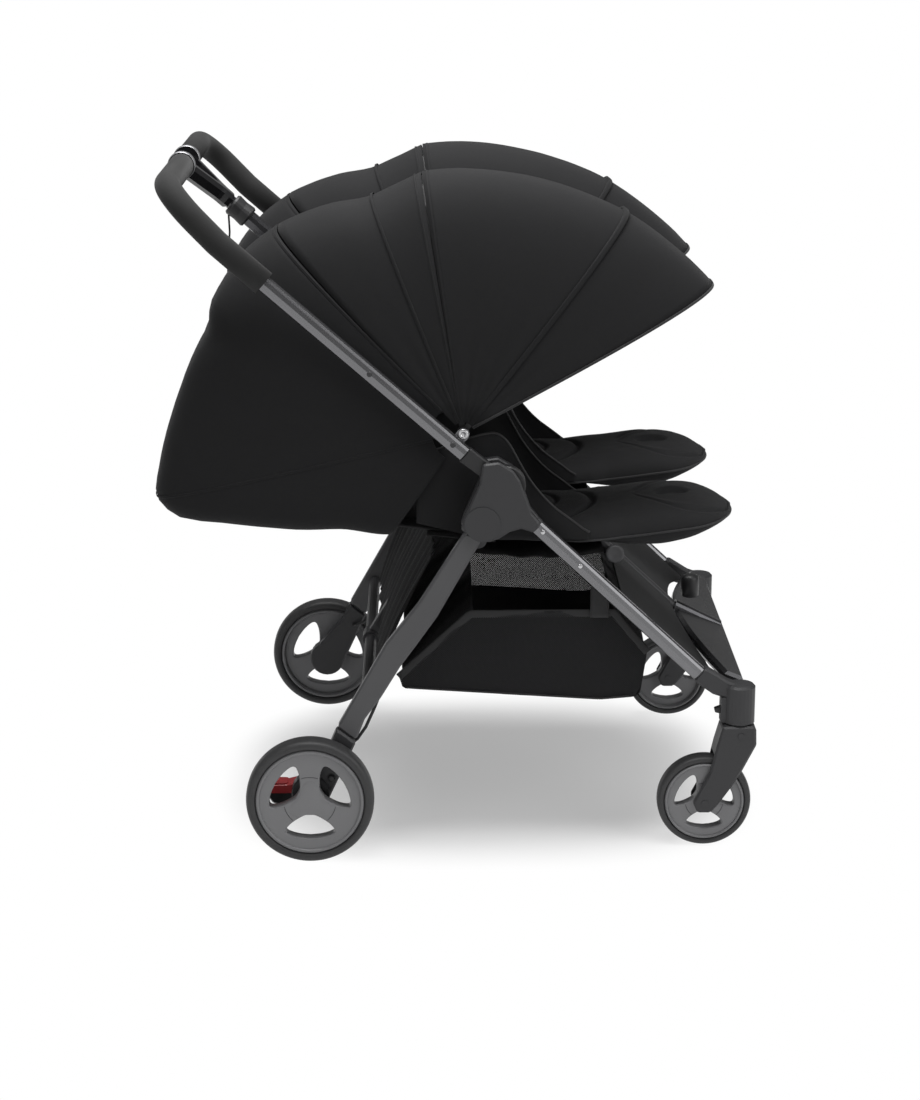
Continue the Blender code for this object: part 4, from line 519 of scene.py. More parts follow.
# %% Measures of the hood
HOOD_AXIS = Vector((0.008, 0, 0.637))
CABIN_Y = 0.179
HOOD_HALF = 0.1302
FAN_INNER = 0.045
HOOD_INNER = 0.016
CLOTH = 0.0016
VISOR = 28.0
FRONT_BOW = 51.7
MID_BOW = 99.3
BACK_SEAM = 133.7
BACK_HEM = 236.0
FRONT_FAN = ((VISOR, 0.420, 2.8), (40.0, 0.402, 2.8), (FRONT_BOW, 0.390, 2.8),
             (66.0, 0.376, 2.8), (82.0, 0.368, 2.8), (MID_BOW, 0.365, 2.8))
REAR_FAN = ((MID_BOW, 0.365, 2.8), (106.0, 0.357, 2.8), (112.0, 0.354, 2.9),
            (122.0, 0.371, 3.0), (BACK_SEAM, 0.391, 3.2))
BACK_FAN = ((BACK_SEAM, 0.391, 3.2), (144.0, 0.404, 3.8), (154.0, 0.408, 4.6),
            (159.5, 0.398, 5.2), (164.0, 0.405, 5.6), (176.0, 0.424, 6.0),
            (188.0, 0.453, 6.5), (193.0, 0.4655, 6.5), (197.0, 0.451, 6.5),
            (203.0, 0.376, 6.5), (210.0, 0.310, 6.5), (222.0, 0.235, 6.0),
            (BACK_HEM, 0.199, 6.0))


# %% A smooth curve through a table
def through(table, at, column):
    """Value of one column at an angle, on a curve that never swings past the table's values."""
    rows = [(row[0], row[column]) for row in table]
    slopes = [(b[1] - a[1]) / (b[0] - a[0]) for a, b in zip(rows, rows[1:])]
    lean = [slopes[0]]
    for before, after in zip(slopes, slopes[1:]):
        same = before * after > 0
        lean.append(2 * before * after / (before + after) if same else 0)
    lean.append(slopes[-1])
    at = min(max(at, rows[0][0]), rows[-1][0])
    for k, (low, high) in enumerate(zip(rows, rows[1:])):
        if at <= high[0] + 1e-9:
            wide = high[0] - low[0]
            t = (at - low[0]) / wide
            return (low[1] * (1 + 2 * t) * (1 - t) ** 2 + lean[k] * wide * t * (1 - t) ** 2
                    + high[1] * t * t * (3 - 2 * t) + lean[k + 1] * wide * t * t * (t - 1))


def cabin_pin(side):
    """The pin's place in the middle of one cabin."""
    return Vector((HOOD_AXIS.x, side * CABIN_Y, HOOD_AXIS.z))


def fan_point(fan, angle, share, side, lift=0.0):
    """A point of the cloth: share runs along the arch, from the cabin's right to its left."""
    reach = through(fan, angle, 1) + lift
    power = through(fan, angle, 2)
    inner = FAN_INNER if fan is BACK_FAN else HOOD_INNER
    start = (inner / reach) ** (power / 2)
    first = atan2(start, (1 - start * start) ** 0.5)
    turn = pi - first - (pi - 2 * first) * share
    across = (HOOD_HALF + lift) * signed_power(cos(turn), power)
    up = reach * signed_power(sin(turn), power)
    a = radians(angle)
    return cabin_pin(side) + Vector((up * cos(a), across, up * sin(a)))


# %% Unevenness, thickness and tape
def rumple(point, size, seed):
    """Slow and quick swells together, from -1 to 1, the same in each run."""
    where = point / size + Vector((seed, seed * 1.7, 0))
    return 0.7 * noise.noise(where) + 0.3 * noise.noise(where * 2.7)


def thicken(made, thickness, offset=0.0):
    """Give a sheet its thickness, and keep the result as the piece's own mesh."""
    skin = made.modifiers.new("cloth", "SOLIDIFY")
    skin.thickness = thickness
    skin.offset = offset
    skin.use_even_offset = True
    solid = made.evaluated_get(bpy.context.evaluated_depsgraph_get())
    mesh = bpy.data.meshes.new_from_object(solid)
    made.modifiers.clear()
    made.data = mesh
    return made


def sheet_area(made):
    return sum(face.area for face in made.data.polygons)


def strip(name, points, normals, width, height, finish, depth=0.0004):
    """A flat tape with a rounded back, laid along a line on a surface."""
    verts = []
    count = len(points)
    profile = [(-0.5, 0.0), (-0.42, 0.8), (-0.2, 1.0), (0.2, 1.0), (0.42, 0.8), (0.5, 0.0)]
    for k, (point, normal) in enumerate(zip(points, normals)):
        along = points[min(k + 1, count - 1)] - points[max(k - 1, 0)]
        across = along.cross(normal).normalized()
        for u, v in profile:
            rise = v * height - 0.0004 if v else -depth
            verts.append(point + across * (u * width) + normal * rise)
    return piece(name, verts, capped_faces(count, len(profile)), finish)


# %% [markdown]
# ### Cutting the hood's cloth
# The cloth follows the fan, and three things are laid over it: it sags a little between the bows
# where nothing holds it out, pulls into fine creases that run down to the pin, and has a slow
# unevenness everywhere. Only then does it get its thickness, inwards, so that it stays just
# outside the bows.

# %% Cloth over a fan of arches
ARCH_STEPS = 64
FAN_STEP = 2.0
SWELL = 0.0012


def cloth_fan(name, fan, first, last, side, seed, sag, creases, finish):
    """Cloth between two angles of a fan, and its area."""
    count = max(int((last - first) / FAN_STEP), 6)
    verts = []
    for r in range(count + 1):
        angle = first + (last - first) * r / count
        free = sin(pi * r / count)
        for c in range(ARCH_STEPS + 1):
            share = c / ARCH_STEPS
            low = min(share, 1 - share)
            point = fan_point(fan, angle, share, side)
            out = (point - cabin_pin(side)).normalized()
            drop = -sag * free * sin(pi * share) ** 0.5
            pull = creases * free * exp(-low * 9) * sin(angle * 0.55 + seed) * min(low * 30, 1)
            swell = SWELL * rumple(point, 0.07, seed) * min(low * 20, 1)
            verts.append(point + out * (drop + pull + swell))
    made = piece(name, verts, grid_faces(count + 1, ARCH_STEPS + 1), finish)
    if sum(f.normal.dot(f.center - cabin_pin(side)) for f in made.data.polygons) < 0:
        made.data.flip_normals()
    area = sheet_area(made)
    return thicken(made, CLOTH, -1.0), area


def seam_line(fan, angle, side, lift):
    """A line of points and outward directions along one arch."""
    points, normals = [], []
    a = radians(angle)
    turn = Vector((-sin(a), 0, cos(a)))
    for k in range(ARCH_STEPS + 1):
        share = k / ARCH_STEPS
        here = fan_point(fan, angle, share, side, lift)
        before = fan_point(fan, angle, max(share - 0.004, 0), side, lift)
        after = fan_point(fan, angle, min(share + 0.004, 1), side, lift)
        normal = (after - before).cross(turn).normalized()
        points.append(here)
        normals.append(normal if normal.dot(here - cabin_pin(side)) > 0 else -normal)
    return points, normals


def arch_tape(name, fan, angle, side, width, body, finish, lift=0.0004, height=0.0006, depth=0.0004):
    """A seam or hem along one arch, which moves with a body."""
    points, normals = seam_line(fan, angle, side, lift)
    return fitting(strip(name, points, normals, width, height, finish, depth), body)


# %% Sew both hoods
SEAM_TURN = 0.16
DEEP_SEAM = 0.0045
for side, hand in HANDS.items():
    front, area = cloth_fan(f"hood_front_cloth_{hand}", FRONT_FAN, VISOR, MID_BOW - SEAM_TURN, side,
                            3.1 + side, 0.004, 0.0022, hood_cloth)
    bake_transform(front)
    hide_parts(f"hood_front_fabric_{hand}")
    seams = [arch_tape(f"hood_bow_seam_{hand}", FRONT_FAN, FRONT_BOW, side, 0.0085,
                       f"front_bow_{hand}", hood_cloth, 0.0005, depth=DEEP_SEAM),
             arch_tape(f"hood_mid_seam_{hand}", FRONT_FAN, MID_BOW - 1.2, side, 0.0040,
                       f"hood_front_{hand}", hood_cloth, 0.0005, depth=DEEP_SEAM),
             arch_tape(f"hood_hem_{hand}", FRONT_FAN, VISOR + 0.25, side, 0.0040,
                       f"front_bow_{hand}", binding, height=0.0012)]
    rear, area = cloth_fan(f"hood_rear_cloth_{hand}", REAR_FAN, MID_BOW + SEAM_TURN,
                           BACK_SEAM - SEAM_TURN, side, 7.3 + side, 0.003, 0.0015, hood_cloth)
    fitting(rear, f"hood_rear_{hand}")
    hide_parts(f"hood_rear_fabric_{hand}")
    tapes = [arch_tape(f"hood_{label}_seam_{hand}", REAR_FAN, angle, side, width,
                       f"hood_rear_{hand}", hood_cloth)
             for label, angle, width in (("zip", 112.0, 0.0045), ("pleat", 101.0, 0.0030))]
    shell, area = cloth_fan(f"back_cloth_{hand}", BACK_FAN, BACK_SEAM + SEAM_TURN, BACK_HEM, side,
                            11.9 + side, 0.0, 0.0012, shell_cloth)
    fitting(shell, f"back_shell_{hand}")
    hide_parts(f"back_shell_{hand}")
    tapes = [arch_tape(f"back_{label}_seam_{hand}", BACK_FAN, angle, side, width,
                       f"back_shell_{hand}", shell_cloth)
             for label, angle, width in (("top", BACK_SEAM + 0.9, 0.005), ("rear", 193.0, 0.004))]
    print(hand, "hood cloth", len(front.data.polygons), len(shell.data.polygons), round(area, 3))

# %% [markdown]
# ## Seat pads
# The seat and its leg rest share one padded cover. The real one is sewn from two layers over
# foam, with a loose body insert on top whose round end shows as a soft step, and a leaf-shaped
# pocket on the leg rest. A ring of points is swept along the pad: the ring gives the rounded
# sides, and its upper half is then raised or pressed in to make the steps and the sewn channels.

# %% Lines through rows of values
def ease(value, low, high):
    """Rises smoothly from 0 at low to 1 at high."""
    t = min(max((value - low) / (high - low), 0.0), 1.0)
    return t * t * (3 - 2 * t)


def straight(rows, x):
    """Straight-line value at x from rows of (x, value)."""
    x = max(x, rows[0][0])
    for (x0, v0), (x1, v1) in zip(rows, rows[1:]):
        if x <= x1:
            return v0 + (v1 - v0) * (x - x0) / (x1 - x0)
    return rows[-1][1]


def curve_through(rows, x):
    """The straight-line value, averaged over a short way so that its corners are soft."""
    return sum(straight(rows, x + d * 0.006) for d in (-2, -1, 0, 1, 2)) / 5


# %% Height of the seat's top
LEAF_EDGE = ((0.261, 0.0), (0.280, 0.032), (0.3015, 0.060), (0.322, 0.077), (0.340, 0.0855),
             (0.360, 0.0850), (0.380, 0.0740), (0.396, 0.0560), (0.405, 0.0360), (0.410, 0.0))
SLOT_MIDDLE = 0.324


def groove(distance, half, depth):
    """A sewn channel: pulled down at the line, soft at both sides."""
    return -depth * exp(-(distance / half) ** 2)


def rounded_end(x, y, tip, half, corner):
    """How far a place is outside a pad with a round end: under 0 is on the pad."""
    along = max(x - (tip - corner), 0.0)
    across = abs(y) * corner / half
    return hypot(along, across) - corner


def seat_relief(x, y):
    """Body insert, its smaller inner pad, and the leaf-shaped panel of the leg rest."""
    insert = rounded_end(x, y, 0.202, 0.080, 0.075)
    inner = rounded_end(x, y, 0.148, 0.054, 0.050)
    height = 0.0045 * (1 - ease(insert, -0.016, 0.0)) + groove(insert - 0.003, 0.0046, 0.0075)
    height += 0.0030 * (1 - ease(inner, -0.012, 0.0)) + groove(inner - 0.002, 0.0036, 0.0050)
    if LEAF_EDGE[0][0] < x < LEAF_EDGE[-1][0]:
        edge = (abs(y) - straight(LEAF_EDGE, x)) * 0.72
        there = ease(x, 0.261, 0.275)
        height += there * groove(edge, 0.0034, 0.0050)
        height -= there * 0.0035 * (1 - ease(edge, -0.016, -0.001)) * (1 - ease(x, 0.30, 0.37))
        slot = hypot((x - SLOT_MIDDLE) / 0.026, y / 0.024) - 1
        height -= 0.0080 * (1 - ease(slot, -0.35, 0.12))
    return height


# %% Sweep a padded ring
TOP_POINTS = 108
LOW_POINTS = 34


def pad_ring(around):
    """Places across a pad from -1 to 1, crowded towards its edges."""
    return [sin(pi / 2 * (2 * k / (around - 1) - 1)) for k in range(around)]


def swept_pad(name, stations, relief, seed):
    """stations: (x, half width, seam z, low z, high z); the pad's own frame, top towards +Z."""
    def dome(u):
        return max(1 - abs(u) ** 4.2, 0.0) ** 0.42

    verts = []
    tops, lows = pad_ring(TOP_POINTS), pad_ring(LOW_POINTS)[1:-1]
    for x, half, seam, low, high in stations:
        for u in tops:
            flat = max(1 - abs(u) ** 10, 0.0)
            swell = 0.0010 * rumple(Vector((x, half * u, seed)), 0.045, seed) * flat
            rise = relief(x, half * u) * flat * min((high - seam) / 0.006, 1)
            z = seam + (high - seam) * dome(u) + 0.0030 * (1 - u * u) + swell + rise
            verts.append(Vector((x, half * u, z)))
        verts += [Vector((x, half * u, seam - (seam - low) * dome(u))) for u in reversed(lows)]
    return piece(name, verts, capped_faces(len(stations), len(tops) + len(lows)), seat_cloth)


# %% Outline of the seat and leg rest
SEAT_TOPS = ((0.046, 0.4820), (0.062, 0.4915), (0.110, 0.4960), (0.160, 0.4990), (0.202, 0.5040),
             (0.250, 0.5110), (0.298, 0.5175), (0.335, 0.5185), (0.368, 0.5140), (0.395, 0.5050),
             (0.4135, 0.4945))
SEAT_SEAMS = ((0.046, 0.4780), (0.062, 0.4760), (0.180, 0.4700), (0.260, 0.4760), (0.343, 0.4870),
              (0.400, 0.4935), (0.4135, 0.4930))
SEAT_LOWS = ((0.046, 0.4760), (0.062, 0.4700), (0.205, 0.4670), (0.250, 0.4545), (0.304, 0.4530),
             (0.345, 0.4630), (0.380, 0.4790), (0.4135, 0.4910))
PAD_START, PAD_TIP = 0.046, 0.4135
PAD_HALF, REST_NARROWER = 0.1150, 0.0068
TIP_LENGTH, TIP_POWER = 0.082, 2.3
BACK_ROUND = 0.016


def seat_stations(body=110, tip=44):
    """Even steps along the seat, then steps that crowd together round the leg rest's end."""
    start = PAD_TIP - TIP_LENGTH
    places = [PAD_START + (start - PAD_START) * k / body for k in range(body)]
    places += [start + TIP_LENGTH * sin(pi / 2 * k / tip) ** (2 / TIP_POWER) for k in range(tip)]
    rows = []
    for x in places:
        half = PAD_HALF - REST_NARROWER * ease(x, 0.215, 0.250)
        half *= max(1 - (max(x - start, 0) / TIP_LENGTH) ** TIP_POWER, 0.0) ** 0.5
        half *= 1 - 0.05 * (max(PAD_START + BACK_ROUND - x, 0) / BACK_ROUND) ** 2
        rows.append((x, max(half, 0.004), *(curve_through(line, x)
                                            for line in (SEAT_SEAMS, SEAT_LOWS, SEAT_TOPS))))
    return rows


# %% Sew the seat pads and their piping
seat_rows = seat_stations()
for side, hand in HANDS.items():
    pad = swept_pad(f"seat_cover_{hand}", seat_rows, seat_relief, 2.0 + side)
    pad.data.transform(Matrix.Translation((0, side * CABIN_Y, 0)))
    edge = [Vector((x, side * CABIN_Y - half - 0.0004, seam)) for x, half, seam, *rest in seat_rows]
    edge += [Vector((x, side * CABIN_Y + half + 0.0004, seam))
             for x, half, seam, *rest in reversed(seat_rows)]
    piping = tube(f"seat_piping_{hand}", edge, 0.0016, binding)
    for made in (pad, piping):
        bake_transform(made)
    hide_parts(f"seat_{hand}", f"leg_rest_{hand}")
    print(hand, "seat pad faces", len(pad.data.polygons))


# %% Backrest pad
BACK_START, BACK_MIDDLE, BACK_LENGTH = 0.026, 0.23, 0.434
BACK_STRAIGHT = 0.170
BACK_HALF, BACK_THICK, BACK_LEVEL = 0.1040, 0.0066, -0.0003
BACK_HINGE = Vector((0.030, 0, 0.4785))
BACK_ANGLE = radians(173.0)


def back_relief(x, y):
    """Three cross channels and the long edges of the body insert."""
    height = groove(abs(y) - 0.080, 0.0035, 0.0030)
    for line in (0.12, 0.22, 0.32):
        height += groove(x - line, 0.0035, 0.0026) * (1 - ease(abs(y), 0.070, 0.085))
    return height


back_rows = []
for k in range(71):
    x = BACK_START + (BACK_LENGTH - BACK_START) * k / 70
    end = max(abs(x - BACK_MIDDLE) - BACK_STRAIGHT, 0) / (BACK_LENGTH - BACK_MIDDLE - BACK_STRAIGHT)
    end = min(end, 1)
    half = BACK_HALF * max(1 - 0.45 * end ** 2.6, 0.2)
    thick = BACK_THICK * max(1 - end ** 3, 0.12) ** 0.5
    back_rows.append((x, half, BACK_LEVEL, BACK_LEVEL - thick, BACK_LEVEL + thick))
for side, hand in HANDS.items():
    pad = swept_pad(f"backrest_cover_{hand}", back_rows, back_relief, 5.0 + side)
    turn = Matrix.Rotation(pi, 4, "Z") @ Matrix.Rotation(-(pi - BACK_ANGLE), 4, "Y")
    pad.data.transform(Matrix.Translation(BACK_HINGE + Vector((0, side * CABIN_Y, 0))) @ turn)
    fitting(pad, f"backrest_{hand}")
    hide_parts(f"backrest_{hand}")

# %% [markdown]
# ## Side wings and the sling under the seat
# A wing of cloth closes each side of the seat, from the hood's pin down to the seat's front. Its
# free edge is bound with tape, and it hangs a little slack. Below the seat, the cover's own cloth
# hangs between the two cross tubes.

# %% A sheet from a function
STOUT_CLOTH, SEAT_BASE_CLOTH, LIGHT_CLOTH, NET_CLOTH = 0.0016, 0.0014, 0.0012, 0.0010
HEM_RADIUS = 0.0017


def cloth_grid(name, columns, rows, place, finish, thickness):
    """Cloth whose points are place(u, v) with both from 0 to 1, and its area."""
    verts = [place(c / columns, r / rows) for c in range(columns + 1) for r in range(rows + 1)]
    made = piece(name, verts, grid_faces(columns + 1, rows + 1), finish)
    area = sheet_area(made)
    return thicken(made, thickness), area


# %% Wings
WING_TOP = ((-0.060, 0.600), (-0.010, 0.618), (0.030, 0.632), (0.064, 0.636), (0.080, 0.612),
            (0.100, 0.570), (0.135, 0.528), (0.178, 0.496), (0.194, 0.482))
WING_LOW = ((-0.060, 0.500), (0.030, 0.478), (0.060, 0.474), (0.194, 0.474))
WING_COLUMNS, WING_ROWS = 60, 16
WING_OUT = 0.1195


def wing_at(y):
    """The wing's points, between its free edge and the seat, in a plane beside the pad."""
    def place(u, v):
        x = WING_TOP[0][0] + (WING_TOP[-1][0] - WING_TOP[0][0]) * u
        low = straight(WING_LOW, x)
        z = low + (curve_through(WING_TOP, x) - low) * v
        free = sin(pi * min(v, 0.72) / 1.44) * sin(pi * u)
        fold = 0.0016 * sin(x * 90 + z * 55) + 0.0012 * rumple(Vector((x, y, z)), 0.04, 4.2)
        return Vector((x, y + free * fold, z))
    return place


for side, hand in HANDS.items():
    for label, offset in (("outer", side * WING_OUT), ("inner", -side * WING_OUT)):
        place = wing_at(side * CABIN_Y + offset)
        panel, area = cloth_grid(f"seat_wing_{label}_{hand}", WING_COLUMNS, WING_ROWS, place,
                                 shell_cloth, STOUT_CLOTH)
        edge = [place(c / WING_COLUMNS, 1) for c in range(WING_COLUMNS + 1)]
        hem = tube(f"seat_wing_hem_{label}_{hand}", edge, HEM_RADIUS, binding)
        for made in (panel, hem):
            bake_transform(made)

# %% [markdown]
# ### Cloth between seat and backrest
# A level cloth runs under both pads and closes the gap between them.

# %% Joint cloths
JOINT_FRONT, JOINT_LONG, JOINT_WIDE = 0.056, 0.101, 0.2350
JOINT_LOW, JOINT_RISE = 0.4712, 0.0095


def joint_at(side):
    def place(u, v):
        x = JOINT_FRONT - JOINT_LONG * u
        y = JOINT_WIDE * (v - 0.5)
        dip = 0.0018 * rumple(Vector((x, y, side)), 0.05, 7.7)
        return Vector((x, side * CABIN_Y + y, JOINT_LOW + JOINT_RISE * u + dip))
    return place


for side, hand in HANDS.items():
    made, area = cloth_grid(f"seat_joint_cloth_{hand}", 24, 30, joint_at(side), seat_cloth,
                            SEAT_BASE_CLOTH)
    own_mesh(made)
    fitting(made, "chassis")


# %% Slings under the seats
SLING_BACK, SLING_LONG, SLING_HALF = 0.024, 0.192, 0.113
SLING_TOP, SLING_SAG = 0.4530, 0.0175


def sling_at(side):
    """Cloth that hangs below the seat from the front tube to the rear one."""
    def place(u, v):
        x = SLING_BACK + SLING_LONG * u
        y = SLING_HALF * (2 * v - 1)
        along, beside = sin(pi * u), abs(y) / SLING_HALF
        ripple = 0.0016 * sin(x * 130 + abs(y) * 20)
        sag = SLING_SAG * (0.55 + 0.45 * (1 - beside ** 4))
        drop = along * (sag + ripple - 0.0036 * beside ** 8)
        return Vector((x, side * CABIN_Y + y, SLING_TOP - drop))
    return place


for side, hand in HANDS.items():
    made, area = cloth_grid(f"seat_sling_{hand}", 44, 36, sling_at(side), shell_cloth,
                            SEAT_BASE_CLOTH)
    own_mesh(made)
    fitting(made, "chassis")

# %% [markdown]
# ## Basket
# The basket hangs from the front and rear legs by tabs. Its sides are air mesh, and its floor,
# front and rear are cloth. The rear is gathered on an elastic, so it falls in upright folds, and
# the floor sags between the ends.

# %% Basket outline
BASKET_HALF = 0.2895
BASKET_IN = BASKET_HALF - 0.0045
BASKET_TOP = ((-0.0875, 0.2625), (0.019, 0.3605), (0.232, 0.3615), (0.2835, 0.300))
BASKET_LOW = ((-0.0875, 0.2600), (-0.0815, 0.2410), (0.214, 0.2220), (0.266, 0.2270),
              (0.2735, 0.240), (0.2835, 0.299))
WRAP_LINE = ((0.019, 0.3605), (-0.0865, 0.262), (-0.0810, 0.2415), (0.214, 0.2225),
             (0.2725, 0.2275), (0.2830, 0.300), (0.233, 0.3605))
WRAP_STEPS = (24, 8, 36, 10, 14, 12)
REAR_STEPS, FLOOR_FIRST, FLOOR_LAST = 30, 34, 66
NET_COLUMNS = 72


def net_at(side):
    """Net between the hem and the floor's edge, bellied a little outwards."""
    def place(u, v):
        x = BASKET_TOP[0][0] + (BASKET_TOP[-1][0] - BASKET_TOP[0][0]) * u
        low = straight(BASKET_LOW, x)
        z = low + (straight(BASKET_TOP, x) - low) * v
        belly = 0.0030 * sin(pi * v) * sin(pi * u)
        swell = 0.0016 * rumple(Vector((x, side, z)), 0.06, 9.1) * sin(pi * u)
        return Vector((x, side * (BASKET_IN + belly + swell), z))
    return place


def wrap_path():
    """The side view of the basket's cloth from hem to hem, with its corners rounded."""
    line = [Vector((x, 0, z)) for x, z in WRAP_LINE]
    path = [line[0]]
    for start, end, count in zip(line, line[1:], WRAP_STEPS):
        path += [start.lerp(end, k / count) for k in range(1, count + 1)]
    for turn in range(3):
        inner = [(a + b * 2 + c) / 4 for a, b, c in zip(path, path[1:], path[2:])]
        path = [path[0], *inner, path[-1]]
    return path


basket_path = wrap_path()


def wrap_place(u, share):
    """Rear, floor and front wall: folds at the rear, and a sag in the floor."""
    k = round(u * (len(basket_path) - 1))
    point = basket_path[k]
    v = 2 * share - 1
    y = v * BASKET_IN
    rear = max(1 - k / REAR_STEPS, 0)
    fold = 0.0042 * rear * sin(v * 26 + 1.2 * sin(v * 5)) * sin(pi * min(k / REAR_STEPS, 1)) ** 0.5
    floor = min(max((k - FLOOR_FIRST) / (FLOOR_LAST - FLOOR_FIRST), 0), 1)
    sag = 0.0045 * (1 - v * v) * sin(pi * floor) if FLOOR_FIRST < k < FLOOR_LAST else 0
    swell = 0.0015 * rumple(Vector((point.x, y, point.z)), 0.05, 6.6) * (1 - v ** 8)
    inward = 0.004 if k < REAR_STEPS else 0.0
    return point + Vector((fold + swell + inward, y, -sag + swell))


# %% Make the basket
wrap, wrap_area = cloth_grid("basket_wrap", len(basket_path) - 1, 96, wrap_place, basket_cloth,
                             STOUT_CLOTH)
basket_pieces = [wrap]
for side, hand in HANDS.items():
    out = Vector((0, side, 0))
    place = net_at(side)
    net, area = cloth_grid(f"basket_net_{hand}", NET_COLUMNS, 22, place, basket_net, NET_CLOTH)
    tops = [place(c / NET_COLUMNS, 1) for c in range(NET_COLUMNS + 1)]
    hem = [Vector((top.x, side * (BASKET_HALF - 0.004), top.z - 0.004)) for top in tops]
    top_hem = strip(f"basket_hem_{hand}", hem, [out] * len(hem), 0.012, 0.0010, binding)
    low_edge = [Vector((x, side * (BASKET_HALF - 0.003), straight(BASKET_LOW, x) + 0.002))
                for x in [-0.078 + 0.335 * k / 40 for k in range(41)]]
    floor_piping = tube(f"basket_floor_piping_{hand}", low_edge, 0.0014, binding, 6)
    tab_line = [Vector((0.211, side * 0.2905, 0.352 + 0.049 * k / 8)) for k in range(9)]
    tab = strip(f"basket_tab_{hand}", tab_line, [out] * 9, 0.028, 0.0016, binding)
    basket_pieces += [net, top_hem, floor_piping, tab]
for made in basket_pieces:
    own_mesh(made)
    fitting(made, "chassis")
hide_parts("basket")
print("basket pieces", len(basket_pieces), "cloth", round(wrap_area, 3))

# %% [markdown]
# ### Rear curtain
# Between the rear legs a gathered curtain closes the space behind the basket. It hangs from the
# seat's rear edge down to the rear crossbar.

# %% Gathered curtain
CURTAIN_TOP = Vector((-0.034, 0, 0.447))
CURTAIN_LOW = Vector((-0.1215, 0, 0.2520))
CURTAIN_HALF = 0.2860


def curtain_place(t, share):
    v = 2 * share - 1
    gather = sin(v * 34 + 1.6 * sin(v * 7) + 0.8 * sin(t * 3))
    depth = 0.0034 * (0.35 + 0.65 * sin(pi * min(t * 0.8 + 0.12, 1)))
    slack = -0.006 * sin(pi * t)
    side_curl = 0.004 * abs(v) ** 12
    sway = 0.002 * rumple(Vector((t, v, 0)), 0.2, 3.3)
    return CURTAIN_TOP.lerp(CURTAIN_LOW, t) + Vector((gather * depth + slack - side_curl,
                                                      v * CURTAIN_HALF, sway))


rear_curtain, curtain_area = cloth_grid("rear_curtain", 40, 150, curtain_place, shell_cloth,
                                        LIGHT_CLOTH)
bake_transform(rear_curtain)
print("curtain cloth", round(curtain_area, 3))

# %% [markdown]
# ## Small fittings
# Rivets, pivot knobs, screws and the silver collars on the handle are small, but they are where
# the eye checks whether a frame is real. Each is turned: a profile is spun round an axis.

# %% Turned pieces
def recalculated(mesh, weld=0.0):
    """Weld a mesh's doubled points and turn all its faces outwards."""
    bm = bmesh.new()
    bm.from_mesh(mesh)
    if weld:
        bmesh.ops.remove_doubles(bm, verts=bm.verts, dist=weld)
    bmesh.ops.recalc_face_normals(bm, faces=bm.faces)
    bm.to_mesh(mesh)
    bm.free()


def turned(name, centre, axis, profile, finish, steps=28):
    """profile: (radius, height) pairs from the base outwards along the axis."""
    axis = Vector(axis).normalized()
    first = axis.orthogonal().normalized()
    second = axis.cross(first)
    verts = []
    for radius, height in profile:
        for k in range(steps):
            a = 2 * pi * k / steps
            verts.append(Vector(centre) + axis * height
                         + (first * cos(a) + second * sin(a)) * max(radius, 0.00005))
    made = piece(name, verts, capped_faces(len(profile), steps), finish)
    recalculated(made.data)
    return made


def domed(radius, height):
    return ((radius * 0.96, -0.0006), (radius, 0.0002), (radius * 0.96, height * 0.45),
            (radius * 0.78, height * 0.82), (radius * 0.45, height), (0.0, height * 1.02))


def eyelet(radius, hole, height):
    return ((radius * 0.98, -0.0006), (radius, 0.0002), (radius * 0.93, height * 0.8),
            (radius * 0.75, height), (hole, height * 0.8), (hole * 0.9, height * 0.25),
            (0.0, height * 0.2))


# %% Rivets, eyelets, pivots, collars and screws
PIVOT = ((0.0128, -0.006), (0.0134, -0.004), (0.0134, 0.0010), (0.0120, 0.0026),
         (0.0092, 0.0030), (0.0085, 0.0022), (0.0, 0.0022))
COLLAR = ((0.0190, 0.0), (0.0206, 0.0005), (0.0210, 0.0018), (0.0210, 0.0118),
          (0.0206, 0.0134), (0.0190, 0.0140))
for side, hand in HANDS.items():
    out = (0, side, 0)
    for label, x, z in (("top", 0.1245, 0.4895), ("middle", 0.1800, 0.4378)):
        fitting(turned(f"leg_rivet_{label}_{hand}", (x, side * 0.3145, z), out,
                       domed(0.0034, 0.0012), rivet_steel), "chassis")
    for label, x, z in (("low", -0.0070, 0.6248), ("high", -0.1260, 0.7287)):
        fitting(turned(f"tube_rivet_{label}_{hand}", (x, side * 0.3335, z), out,
                       domed(0.0040, 0.0014), dark_moulding), "upper_frame")
    fitting(turned(f"hood_eyelet_{hand}", (HOOD_AXIS.x, side * 0.3178, HOOD_AXIS.z), out,
                   eyelet(0.0080, 0.0034, 0.0018), rivet_steel), "upper_frame")
for side, hand in HANDS.items():
    for end in HANDS:
        label = "outer" if end == side else "inner"
        fitting(turned(f"leg_rest_pivot_{label}_{hand}",
                       (0.232, side * CABIN_Y + end * 0.1162, 0.451), (0, end, 0), PIVOT,
                       dark_moulding), "chassis")
for side, hand in HANDS.items():
    fitting(turned(f"yoke_band_{hand}", (-0.413, side * 0.0355, 0.992), (0, side, 0), COLLAR,
                   band_silver, 48), "upper_frame")
for side, hand in HANDS.items():
    fitting(turned(f"leg_foot_screw_{hand}", (-0.188, side * 0.3435, 0.119), (0, side, 0),
                   domed(0.0052, 0.0012), black_plastic), "rear_frame")

# %% [markdown]
# ## Wheels
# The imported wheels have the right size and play, but few faces round. Each one is made again from
# four simple forms: a turned tyre and lip, a disc with three windows, and a dome with three lobes.
# The disc is a filled curve, because a curve gives an even bevel along every edge by itself. The
# windows stand clear of the lip, as in the photograph, and one can look through them.

